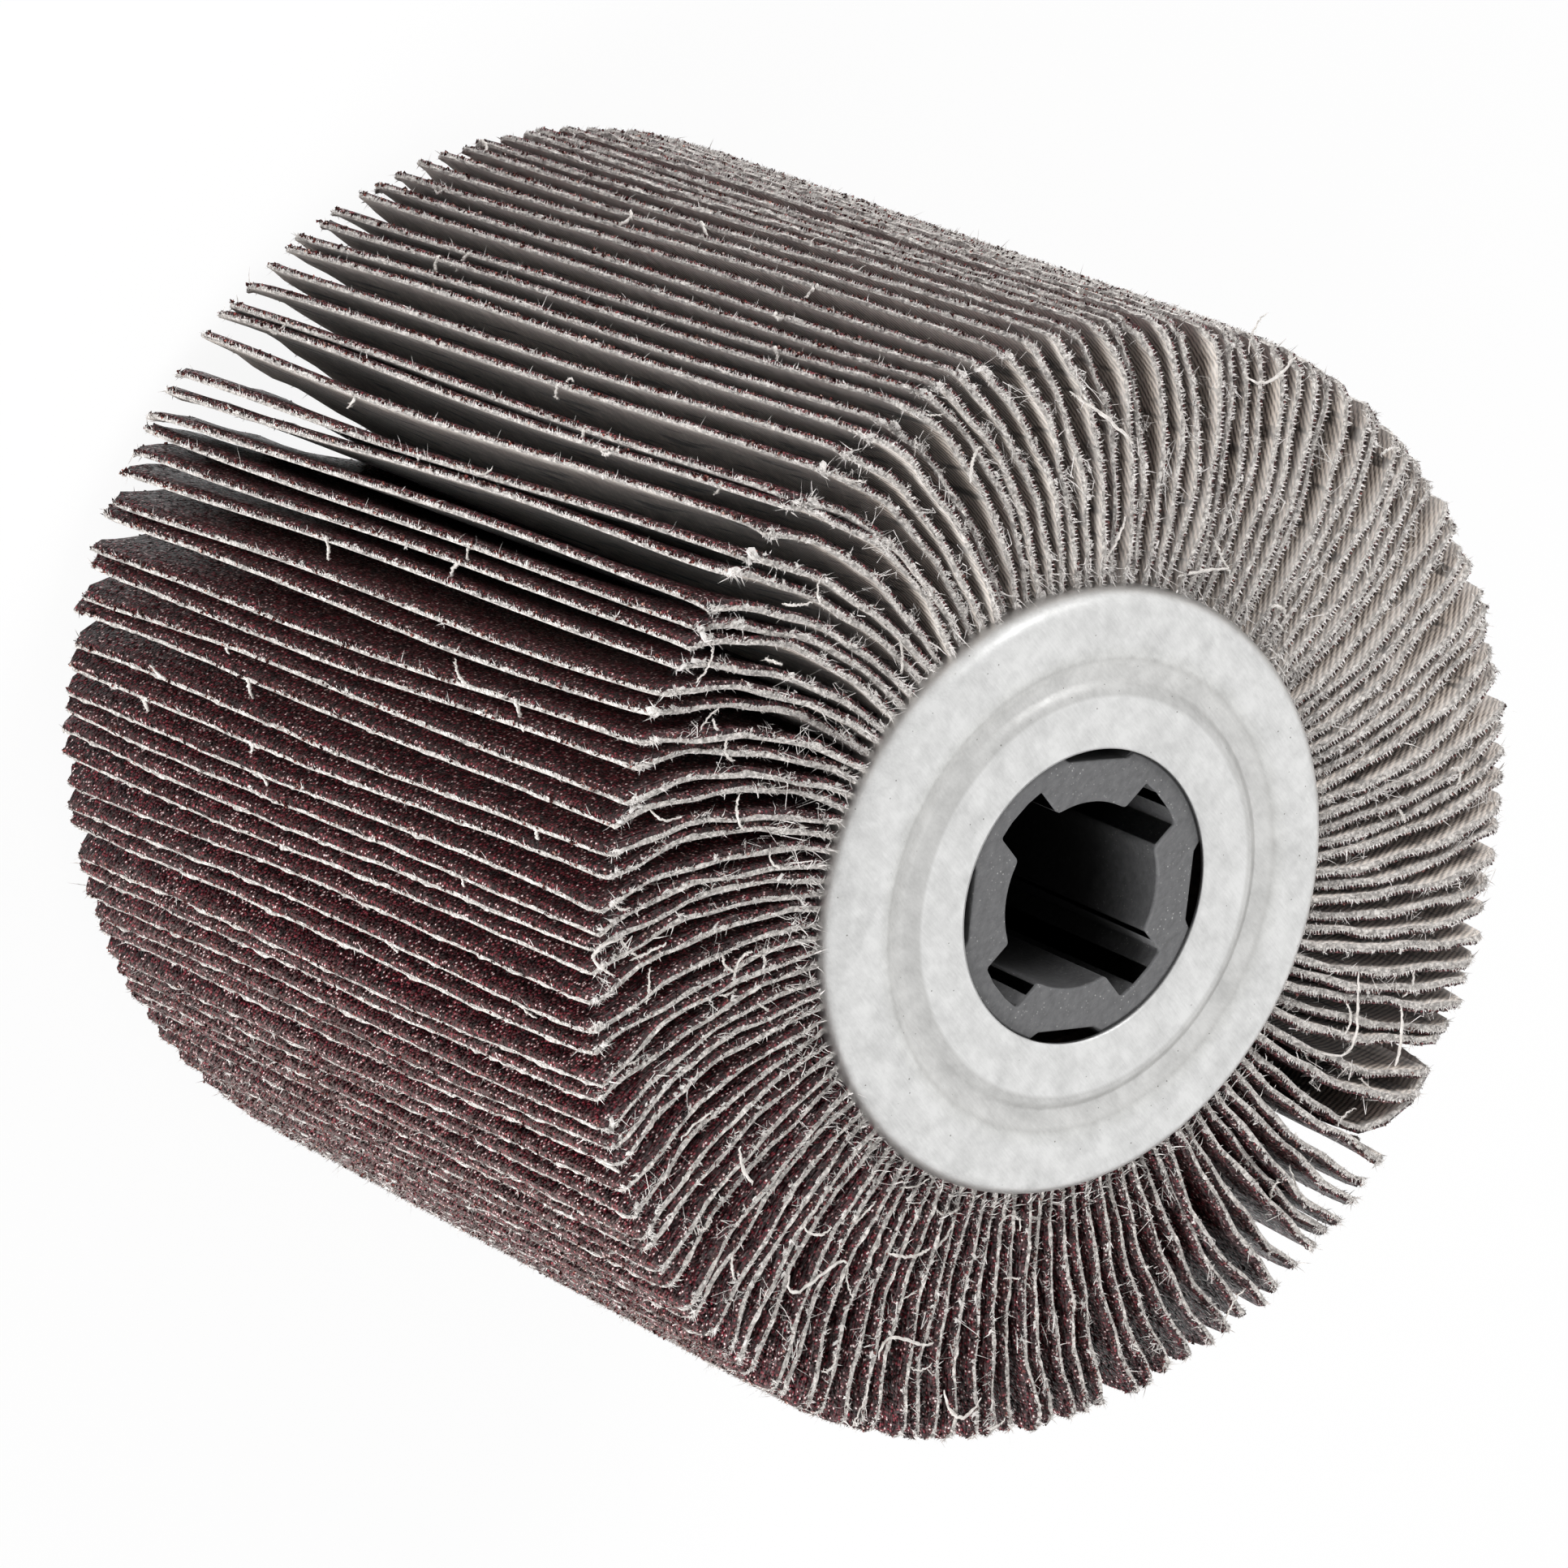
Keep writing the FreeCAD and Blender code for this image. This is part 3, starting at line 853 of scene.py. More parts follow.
    # Grains of about 0.2 mm are too fine to show: those that stand out are drawn up to 0.34 mm.
    grain: tuple = (0.14 * MM, 0.34 * MM)
    grains_on: tuple = ((240, Edge.TIP), (95, Edge.FRONT), (25, Edge.REAR))
    front_lint: tuple = (
        Fray(340, (0.6, 0.0, 0.0), (0.35, 0.8, 0.75), 0.22 * MM, 0.35, 0.14 * MM),
        Fray(70, (0.25, 0.0, -0.1), (0.3, 0.9, 0.7), 0.5 * MM, 0.4, 0.12 * MM, 2),
    )
    tip_lint: tuple = (
        Fray(380, (0.0, 0.35, -0.9), (0.45, 0.25, 0.4), 0.24 * MM, 0.25, 0.15 * MM),
        Fray(80, (0.0, 0.25, -1.0), (0.5, 0.25, 0.4), 0.55 * MM, 0.35, 0.1 * MM, 2),
    )
    rear_lint: Fray = Fray(100, (-1.0, 0.1, 0.1), (0.3, 0.5, 0.75), 0.36 * MM, 0.4, 0.16 * MM)
    # At the corners, first front and then rear: tufts at the tip and fuzz at the root, leaning out.
    corner_tufts: tuple = (
        Fray(44, (0.6, 0.35, 0.0), (0.5, 0.4, 0.6), 0.55 * MM, 0.4, 0.15 * MM, 3),
        Fray(20, (-0.6, 0.35, 0.0), (0.5, 0.4, 0.6), 0.55 * MM, 0.4, 0.15 * MM, 3),
    )
    root_fuzz: tuple = (
        Fray(22, (0.7, -0.7, 0.0), (0.3, 0.4, 0.7), 0.9 * MM, 0.4, 0.14 * MM, 2),
        Fray(10, (-0.7, -0.7, 0.0), (0.3, 0.4, 0.7), 0.9 * MM, 0.4, 0.14 * MM, 2),
    )
    # Matted clumps, knots and tufts of fluff: least and most size, hairs on each, all hairs' width,
    # and wisps to the next flap: least and most width, fibres in each, how many and how likely.
    clump: tuple = (0.16 * MM, 0.38 * MM)
    clump_hairs: int = 10
    clumps_each: int = 9
    knot: tuple = (0.2 * MM, 0.42 * MM)
    knot_hairs: int = 16
    tuft: tuple = (0.14 * MM, 0.3 * MM)
    tuft_hairs: int = 8
    hair: float = 0.13 * MM
    wisp: tuple = (0.08 * MM, 0.14 * MM)
    wisp_hairs: int = 7
    wisps_each: int = 3
    wisp_share: float = 0.7
    seed: int = 4

    def __post_init__(self) -> None:
        """Lays out the flaps."""
        self.chance = np.random.default_rng(self.seed)
        self.roots = (np.arange(self.count) + 0.5) * 360.0 / self.count
        # Points stand closer together where the ends and the tips wear.
        self.heights = np.concatenate([[0, 0.012, 0.035], np.linspace(0.075, 0.925, 18), [0.965, 0.988, 1]])
        self.along = len(self.heights)
        self.shares = 1 - (1 - np.linspace(0, 1, self.up)) ** 1.3
        self.bend()
        self.thicken()

    def wander(self, waves: tuple, spread: float) -> np.ndarray:
        """Smooth chance waves along each flap, alike on neighbours.

        Args:
            waves: pairs of the turns along a flap and the turns round the wheel.
            spread: how far the waves reach.

        Returns:
            One value for each flap and height.
        """
        total = np.zeros((self.count, self.along))
        for along, round_wheel in waves:
            start = self.chance.uniform(0, 2 * math.pi, 2)
            own = self.chance.normal(0, 0.5, (self.count, 1))
            phase = 2 * math.pi * along * self.heights[None, :] + start[0] + own
            total += np.sin(phase + np.radians(self.roots)[:, None] * round_wheel + start[1])
        return total * spread / len(waves)

    def own(self, spread: float, most: float) -> np.ndarray:
        """A chance value for each flap, as a column: its spread, and the most that it may be."""
        return self.chance.normal(0, spread, (self.count, 1)).clip(-most, most)

    def past(self, angle: float) -> np.ndarray:
        """How far each root stands past an angle, from -180 to 180 degrees."""
        return (self.roots - angle + 180) % 360 - 180

    def turns(self) -> np.ndarray:
        """Works out how far the tips trail the roots.

        Returns:
            The angles in degrees, by flap and height.
        """
        sweep = self.sweep + self.swing * np.cos(np.radians(self.roots - self.swing_direction))
        past = self.past(self.parting)
        laid = np.where((past >= 0) & (past < self.laid_over_reach), 1 - past / self.laid_over_reach, 0)
        upright = np.where((past < 0) & (past > -self.upright_reach), 1 + past / self.upright_reach, 0)
        sweep = sweep + self.laid_over * laid - self.upright * upright
        opened = self.past(self.opening)
        spread = np.sign(opened) * np.exp(-np.abs(opened) / self.opening_reach) / 2
        size = self.opening_rear + (self.opening_front - self.opening_rear) * self.heights[None, :] ** 0.7
        turns = sweep[:, None] + spread[:, None] * size + self.twist * (1 - self.heights)[None, :]
        turns = turns + self.wander(((0.5, 17), (0.8, 31), (1.3, 9)), self.sway)
        turns = turns + self.own(*self.own_turn)
        return self.held_apart(turns + self.own(*self.own_slant) * (self.heights[None, :] - 0.5))

    def round_wheel(self, marks: tuple) -> np.ndarray:
        """A value for each flap.

        Args:
            marks: pairs of a clock angle in degrees, as the front is seen, and the value there.

        Returns:
            The values.
        """
        clock = (self.twelve_o_clock - self.roots - self.sweep / 2) % 360
        places, values = zip(*marks)
        return np.interp(clock, places, values, period=360)

    def held_apart(self, turns: np.ndarray) -> np.ndarray:
        """Moves flaps that would cut into each other apart.

        Args:
            turns: the angles by which the tips trail.

        Returns:
            The angles after the move.
        """
        rounds = 60
        tips = self.roots[:, None] + turns
        last = self.last_flap()
        for _ in range(rounds):
            gap = np.roll(tips, -1, axis=0) - tips
            gap[-1] += 360
            short = np.maximum(self.least_gap - gap, 0) / 2
            short[[last - 1, last]] = 0
            tips = tips - short + np.roll(short, 1, axis=0)
        return tips - self.roots[:, None]

    def last_flap(self) -> int:
        """The number of the flap beside the parting that lies over its neighbours."""
        return int(np.argmax(self.roots > self.parting))

    def bend(self) -> None:
        """Works out the middle of each sheet and its directions, by flap, height and place up the flap."""
        share, last = self.shares, self.last_flap()
        low = self.resin_radius - self.hidden_root
        tip_wear = self.wander(((3.1, 40), (7.3, 11), (12.0, 23)), self.tip_wear) - self.tip_wear
        under, lower = self.held_down
        tip_wear[last + 1 : last + 1 + under] -= lower
        reach = self.tip_radius + tip_wear - low
        radius = low + reach[:, :, None] * share[None, None, :]
        height = ((radius - self.resin_radius) / (self.tip_radius - self.resin_radius)).clip(0, 1)
        tight = np.exp(-(((self.roots - self.tight_curl_at) / self.tight_curl_reach) ** 2))
        curl = self.curl + self.own(*self.own_curl)[:, :, None] + self.tight_curl * tight[:, None, None]
        turns = self.turns()
        upright = np.exp(-((self.past(self.upright_tips_at) / self.upright_tips_reach) ** 2))
        toward_rear = 1 - self.heights**6
        curl = curl + (self.upright_tips_curl - curl) * (upright[:, None] * toward_rear[None, :])[:, :, None]
        curl[last] = self.last_curl
        turns[last] = self.last_turn + self.twist * (1 - self.heights)
        turn = np.radians(turns)[:, :, None] * height**curl

        ripple = self.wander(((1.1, 21), (2.3, 37)), self.ripple)[:, :, None]
        swell = (ripple + self.own(*self.own_bow)[:, :, None]) * np.sin(math.pi * height**0.9)
        start = self.chance.uniform(0, 2 * math.pi, (self.count, 2, 2))
        from_middle = np.abs(2 * self.heights - 1)[None, :, None]
        front = (self.heights > 0.5).astype(int)
        wave = np.sin(share[None, None, :] * 8 + start[:, front, 0, None])
        wave = wave + np.sin(share[None, None, :] * 19 + start[:, front, 1, None])
        swell = swell + self.end_lean * wave * from_middle**26 * (0.25 + 0.4 * height)
        angle = np.radians(self.roots)[:, None, None] + turn + swell / radius

        own_end = self.own(*self.own_end)[:, :, None]
        begin = self.chance.uniform(0, 6.3, (self.count, 1))
        end_wave = self.end_wave * np.sin(share * 9 + begin)[:, None, :]
        lift = self.base + self.width * self.heights[None, :, None] + (own_end + end_wave) * from_middle**8
        corner = self.chance.uniform(*self.corner_wear, (self.count, 2))
        for end, inward in ((0, 1), (-1, -1)):
            radius[:, end, -1] -= corner[:, end]
            lift[:, end, -1] += inward * corner[:, end]
            radius[:, end + inward, -1] -= corner[:, end] * self.corner_round
            lift[:, end, -2] += inward * corner[:, end] * self.corner_round
        self.middle = np.stack([radius * np.cos(angle), radius * np.sin(angle), lift], axis=-1)
        tangent = np.gradient(self.middle, axis=2)
        tangent[..., 2] = 0
        self.outward = unit(tangent)
        self.cloth_way = np.cross(np.broadcast_to(UP, self.outward.shape), self.outward)

    def thicken(self) -> None:
        """Works out the back of the cloth, the seam between cloth and grit and the face of the grit."""
        self.back = self.middle + self.cloth_way * (self.cloth + self.grit) / 2
        worn = self.round_wheel(self.cut_width)[:, None]
        uneven = 1 + 0.2 * np.sin(self.shares * 15 + self.chance.uniform(0, 6.3, (self.count, 1)))
        at_front = self.heights[None, :, None] ** 60
        cut = self.cloth * (1 + ((worn * uneven)[:, None] - 1) * at_front)
        cut[:, :, -1] *= 1 + (self.round_wheel(self.tip_width)[:, None] - 1) * (1 - at_front[:, :, 0])
        self.seam = self.back - self.cloth_way * cut[..., None]
        self.face = self.seam - self.cloth_way * self.grit
        self.face[:, :, -1] -= self.outward[:, :, -1] * self.grit_wear
        self.face[:, 0] += UP * self.grit_wear * self.end_grit_share
        self.face[:, -1] -= UP * self.grit_wear * self.end_grit_share

    def at(self, grid: np.ndarray, flap: np.ndarray, along: np.ndarray, up: np.ndarray) -> np.ndarray:
        """Values of a grid at places between its points.

        Args:
            grid: the grid, by flap, height and place up.
            flap: flap numbers.
            along: places from 0, rear, to 1, front.
            up: places from 0, root, to 1, tip.

        Returns:
            The values.
        """
        k = np.interp(along, self.heights, np.arange(self.along)).clip(0, self.along - 1.001)
        j = np.interp(up, self.shares, np.arange(self.up)).clip(0, self.up - 1.001)
        k0, j0 = k.astype(int), j.astype(int)
        kf, jf = (k - k0)[..., None], (j - j0)[..., None]
        low = grid[flap, k0, j0] * (1 - jf) + grid[flap, k0, j0 + 1] * jf
        high = grid[flap, k0 + 1, j0] * (1 - jf) + grid[flap, k0 + 1, j0 + 1] * jf
        return low * (1 - kf) + high * kf

    def border(self) -> tuple[np.ndarray, np.ndarray, np.ndarray]:
        """The way round the free edges of a flap.

        Returns:
            Places along, places up, and how much the edge faces along and up at each.
        """
        rear, tip, front = (np.linspace(0, 1, points) for points in self.edge_points)
        front = front[::-1]
        along = np.concatenate([np.zeros(len(rear) - 1), tip, np.ones(len(front) - 1)])
        up = np.concatenate([rear[:-1], np.ones(len(tip)), front[1:]])
        facing = np.zeros((len(along), 2))
        facing[: len(rear) - 1] = (-1, 0)
        facing[len(rear) - 1 : len(rear) - 1 + len(tip)] = (0, 1)
        facing[len(rear) - 1 + len(tip) :] = (1, 0)
        return along, up, facing

    def sheets(self, name: str, flaps: slice, materials: list) -> bpy.types.Object:
        """Makes the cloth and grit of some of the flaps, with ragged cut edges.

        Args:
            name: the piece's name.
            flaps: which flaps.
            materials: twill, cut edge and grit.

        Returns:
            The piece.
        """
        parts, chance = MeshParts(), self.chance
        numbers = np.arange(self.count)[flaps]
        row, place = np.meshgrid(np.arange(self.along - 1), np.arange(self.up - 1), indexing="ij")
        corner = (row * self.up + place).ravel()
        quad = np.stack([corner, corner + self.up, corner + self.up + 1, corner + 1], axis=1)
        flat_up = np.broadcast_to(self.shares * (self.tip_radius - self.resin_radius), (self.along, self.up))
        flat_along = np.broadcast_to((self.heights * self.width)[:, None], (self.along, self.up))
        for number in numbers:
            # Each flap is cut from another place of the same cloth.
            flat = np.stack([flat_up, flat_along + chance.uniform(0, 0.05)], axis=-1)
            parts.add(self.back[number], quad, 0, True, flat)
            parts.add(self.face[number], quad[:, ::-1], 2, True, flat)

        along, up, facing = self.border()
        count, steps = len(numbers), len(along)
        flap = np.repeat(numbers, steps)
        along, up = np.tile(along, count), np.tile(up, count)
        facing = np.tile(facing, (count, 1))
        outward = facing[:, :1] * UP + facing[:, 1:] * self.at(self.outward, flap, along, up)
        cloth_way = self.at(self.cloth_way, flap, along, up)
        back, seam, face = (self.at(grid, flap, along, up) for grid in (self.back, self.seam, self.face))
        rough = chance.normal(0, 1, (3, count, steps))
        rough = (rough + np.roll(rough, 1, axis=2)).reshape(3, -1, 1) / 1.4
        across, wanders = self.crest_across
        crest = back + (seam - back) * (across + wanders * rough[0]).clip(0.1, 0.85)
        out, ragged = self.crest_out
        crest = crest + outward * (out + ragged * rough[1]).clip(-0.05, 0.42) * MM
        inner = seam + cloth_way * 0.08 * MM * rough[2] + outward * 0.05 * MM
        lines = [line.reshape(count, steps, 3) for line in (back, crest, inner, face)]
        step = np.arange(steps - 1)
        strip = np.stack([step, step + 1, step + 1 + steps, step + steps], axis=1)
        for first, finish in ((0, 1), (1, 1), (2, 2)):
            pair = np.concatenate([lines[first], lines[first + 1]], axis=1)
            faces = np.arange(count)[:, None, None] * 2 * steps + strip[None]
            parts.add(pair, faces, finish)
        return parts.piece(name, materials, mapped=True)

    def fibres(
        self, parts: MeshParts, flap: np.ndarray, along: np.ndarray, up: np.ndarray, kind: Fray,
        stretch: np.ndarray | float = 1.0,
    ) -> None:
        """Adds fibres that grow from the cloth.

        Args:
            parts: what gets them.
            flap: flap numbers, one a fibre.
            along: places from rear to front.
            up: places from root to tip.
            kind: the kind of fibre.
            stretch: what the sizes of each are multiplied by.
        """
        n = len(flap)
        cloth_way = self.at(self.cloth_way, flap, along, up)
        outward = self.at(self.outward, flap, along, up)
        depth = self.chance.uniform(0.02, 0.98, (n, 1)) * self.cloth
        roots = self.at(self.back, flap, along, up) - cloth_way * depth
        ways = [self.chance.normal(kind.lean[part], kind.spread[part], (n, 1)) for part in range(3)]
        way = unit(ways[0] * UP + ways[1] * outward + ways[2] * cloth_way)
        lengths = kind.length * np.exp(self.chance.normal(0, kind.varies, n)) * stretch
        curls = self.chance.normal(0, 0.35, (n, 3)) * lengths[:, None]
        widths = kind.width * self.chance.uniform(0.6, 1.4, n) * stretch**0.5
        beside = self.chance.normal(0, 1, (n, 3))
        strands(parts, roots - way * 0.05 * MM, way, lengths, widths, curls, kind.joints, beside)

    def teeth(self, parts: MeshParts, flaps: slice) -> None:
        """Adds the regular stubs of cut yarns that stand over the grit, one at each yarn.

        Args:
            parts: what gets them.
            flaps: which flaps.
        """
        numbers = np.arange(self.count)[flaps]
        # First along the front ends, then along the tips.
        for length, end in ((self.tip_radius - self.resin_radius, True), (self.width, False)):
            places = (np.arange(int(length / self.yarn)) + 0.5) * self.yarn / length
            flap, place = np.repeat(numbers, len(places)), np.tile(places, len(numbers))
            n = len(flap)
            place = (place + self.chance.normal(0, 0.12 * self.yarn / length, n)).clip(0, 1)
            along, up = (np.ones(n), place) if end else (place, np.ones(n))
            outward = self.at(self.outward, flap, along, up)
            cloth_way = self.at(self.cloth_way, flap, along, up)
            ahead = np.broadcast_to(UP, outward.shape) if end else outward
            way = unit(ahead * self.tooth_lean - cloth_way + self.chance.normal(0, 0.18, (n, 3)))
            off, out = self.tooth_start
            roots = self.at(self.seam, flap, along, up) + cloth_way * off + ahead * out
            lengths = self.chance.uniform(*self.tooth, n)
            if end:
                lengths = lengths * self.round_wheel(self.tooth_length)[flap]
            widths = self.yarn * self.chance.uniform(*self.tooth_width, n)
            beside = ahead + self.chance.normal(0, 0.2, (n, 3))
            strands(parts, roots, way, lengths, widths, np.zeros((n, 3)), 1, beside)

    def clumps(
        self, parts: MeshParts, flap: np.ndarray, along: np.ndarray, up: np.ndarray, size: np.ndarray,
        hairs: int,
    ) -> None:
        """Adds clumps of matted lint: uneven lumps that short hairs stand out of.

        Args:
            parts: what gets them.
            flap: flap numbers, one a clump.
            along: places from rear to front.
            up: places from root to tip.
            size: their sizes.
            hairs: hairs on each.
        """
        chance, n = self.chance, len(flap)
        cloth_way = self.at(self.cloth_way, flap, along, up)
        outward = self.at(self.outward, flap, along, up)
        end = np.sign(np.round(2 * along - 1, 2).astype(int))[:, None]
        ahead = unit(UP * end + outward * (up > 0.97)[:, None])
        aside = chance.uniform(-0.3, 0.4, (n, 1)) * MM
        centre = self.at(self.seam, flap, along, up) + cloth_way * aside + ahead * 0.05 * MM
        turn = chance.normal(0, 0.7, (n, 1))
        first = unit(np.cross(ahead, cloth_way)) * np.cos(turn) + cloth_way * np.sin(turn)
        stretch = size[:, None] * chance.uniform((0.9, 0.45, 0.3), (1.7, 0.8, 0.5), (n, 3))
        axes = np.stack([first, np.cross(ahead, first), ahead], axis=1) * stretch[:, :, None]
        lumps(parts, centre, axes, chance)
        roots = centre[:, None] + chance.normal(0, 0.5, (n, hairs, 3)) @ axes
        way = unit(chance.normal(0, 1, (n, hairs, 3)) + ahead[:, None] * 0.5)
        lengths = size[:, None] * chance.uniform(0.7, 1.9, (n, hairs))
        curls = chance.normal(0, 0.5, (n, hairs, 3)) * lengths[..., None]
        beside = chance.normal(0, 1, (n, hairs, 3))
        strands(parts, roots, way, lengths, np.full(n * hairs, self.hair), curls, 2, beside)

    def wisps(self, parts: MeshParts, flap: np.ndarray, up: np.ndarray, hairs: int) -> None:
        """Adds wisps of fibre that cross from a flap's front end to the next flap.

        Args:
            parts: what gets them.
            flap: flap numbers, one a wisp.
            up: where each starts, from root to tip.
            hairs: fibres in each.
        """
        chance, n = self.chance, len(flap)
        shape = (n, hairs)
        begin = (up[:, None] + chance.normal(0, 0.02, shape)).clip(0, 1).ravel()
        over = up[:, None] + chance.normal(0, 0.09, (n, 1)) + chance.normal(0, 0.05, shape)
        flaps, top = np.repeat(flap, hairs), np.ones(n * hairs)
        roots = self.at(self.seam, flaps, top, begin)
        landing = self.at(self.back, (flaps - 1) % self.count, top, over.clip(0, 1).ravel())
        gap = landing - roots + UP * 0.1 * MM
        lengths = np.linalg.norm(gap, axis=1) * chance.uniform(0.2, 0.75, n * hairs)
        curls = (chance.normal(0, 0.2, (n, 1, 3)) + chance.normal(0, 0.2, (n, hairs, 3))).reshape(-1, 3)
        beside = chance.normal(0, 1, (n * hairs, 3))
        widths = chance.uniform(*self.wisp, n * hairs)
        wobble = chance.normal(0, 0.24, (n * hairs, 3, 3)) * lengths[:, None, None]
        strands(parts, roots, unit(gap), lengths, widths, curls * lengths[:, None], 4, beside, wobble)

    def fray(self, name: str, flaps: slice, material: bpy.types.Material) -> bpy.types.Object:
        """Makes the lint on the cut edges of some of the flaps.

        Args:
            name: the piece's name.
            flaps: which flaps.
            material: the lint's finish.

        Returns:
            The piece.
        """
        parts, chance = MeshParts(), self.chance
        numbers = np.arange(self.count)[flaps]
        self.teeth(parts, flaps)
        for kind in self.front_lint:
            flap = np.repeat(numbers, kind.each)
            self.fibres(parts, flap, np.ones(len(flap)), chance.uniform(0.03, 1, len(flap)), kind)
        for kind in self.tip_lint:
            flap = np.repeat(numbers, kind.each)
            stretch = self.round_wheel(self.fringe)[flap]
            self.fibres(parts, flap, chance.uniform(0, 1, len(flap)), np.ones(len(flap)), kind, stretch)
        flap = np.repeat(numbers, self.rear_lint.each)
        self.fibres(parts, flap, np.zeros(len(flap)), chance.uniform(0.03, 1, len(flap)), self.rear_lint)
        for end, tuft, fuzz in zip((1.0, 0.0), self.corner_tufts, self.root_fuzz):
            flap = np.repeat(numbers, tuft.each)
            inward = np.abs(chance.normal(0, 0.05, len(flap)))
            along = np.abs(end - np.abs(chance.normal(0, 0.01, len(flap))))
            self.fibres(parts, flap, along, 1 - inward, tuft)
            flap = np.repeat(numbers, fuzz.each)
            ups = np.abs(chance.normal(0.05, 0.05, len(flap)))
            self.fibres(parts, flap, np.full(len(flap), end), ups, fuzz)

        matting, knotting = self.round_wheel(self.matting), self.round_wheel(self.knotting)
        flap = np.repeat(numbers, (matting[flaps] * self.clumps_each).astype(int))
        # A third of the clumps gather near the tips, a third near the roots.
        ups = chance.uniform(0.02, 0.97, len(flap)) ** chance.choice([0.35, 1.0, 2.6], len(flap))
        self.clumps(
            parts, flap, np.ones(len(flap)), ups, chance.uniform(*self.clump, len(flap)), self.clump_hairs
        )
        flap = np.concatenate([numbers, numbers])
        sizes = knotting[flap] * chance.uniform(*self.knot, len(flap))
        ups = 1 - np.abs(chance.normal(0, 0.035, len(flap)))
        self.clumps(parts, flap, np.ones(len(flap)), ups, sizes, self.knot_hairs)
        flap = np.repeat(numbers, self.round_wheel(self.fluff)[flaps].astype(int))
        sizes = chance.uniform(*self.tuft, len(flap)) * self.round_wheel(self.fringe)[flap]
        along = chance.uniform(0.02, 0.98, len(flap))
        self.clumps(parts, flap, along, np.ones(len(flap)), sizes, self.tuft_hairs)
        flap = np.repeat(numbers[numbers != self.last_flap()], self.wisps_each)
        flap = flap[chance.random(len(flap)) < matting[flap] * self.wisp_share]
        self.wisps(parts, flap, chance.uniform(0.03, 0.95, len(flap)), self.wisp_hairs)
        return parts.piece(name, [material])

    def grains(self, name: str, flaps: slice, material: bpy.types.Material) -> bpy.types.Object:
        """Makes the grains that stand out at the edges of the grit, as small uneven pyramids.

        Args:
            name: the piece's name.
            flaps: which flaps.
            material: the grit's finish.

        Returns:
            The piece.
        """
        parts, chance = MeshParts(), self.chance
        for each, edge in self.grains_on:
            flap = np.repeat(np.arange(self.count)[flaps], each)
            n, at_tip = len(flap), edge is Edge.TIP
            along, up = chance.uniform(0, 1, n), np.ones(n)
            if not at_tip:
                along, up = np.full(n, float(edge is Edge.FRONT)), chance.uniform(0.03, 1, n)
            # Where the tips are beaded, the grains gather to scallops that arch over the cloth.
            bead = self.round_wheel(self.beading)[flap]
            beaded = np.clip(bead / self.bead_height, 0, 1) * at_tip
            place = along * self.width / self.bead_pitch + flap * 0.37
            off = place - np.round(place)
            along = np.clip(along - off * 0.35 * beaded * self.bead_pitch / self.width, 0, 1)
            depth = chance.uniform(-0.2, 0.9, (n, 1))
            seam, face = (self.at(grid, flap, along, up) for grid in (self.seam, self.face))
            centre = seam * (1 - depth) + face * depth
            if at_tip:
                arch = np.sqrt(1 - (2 * off) ** 2 * beaded)
                lift = chance.uniform(-0.2, 0.1, n) * MM
                lift = lift + bead * arch * (1 + 0.7 * beaded * (chance.uniform(0, 1, n) - 0.3))
                centre = centre + self.at(self.outward, flap, along, up) * lift[:, None]
            size = chance.uniform(*self.grain, (n, 1))
            spokes = unit(chance.normal(0, 1, (n, 4, 3)))
            spokes[:, 3] = -unit(spokes[:, 0] + spokes[:, 1] + spokes[:, 2])
            points = centre[:, None] + spokes * size[:, None]
            base = np.arange(n)[:, None] * 4
            sides = ((0, 1, 2), (0, 3, 1), (1, 3, 2), (2, 3, 0))
            parts.add(points, np.concatenate([base + np.array([side]) for side in sides]))
        return parts.piece(name, [material])


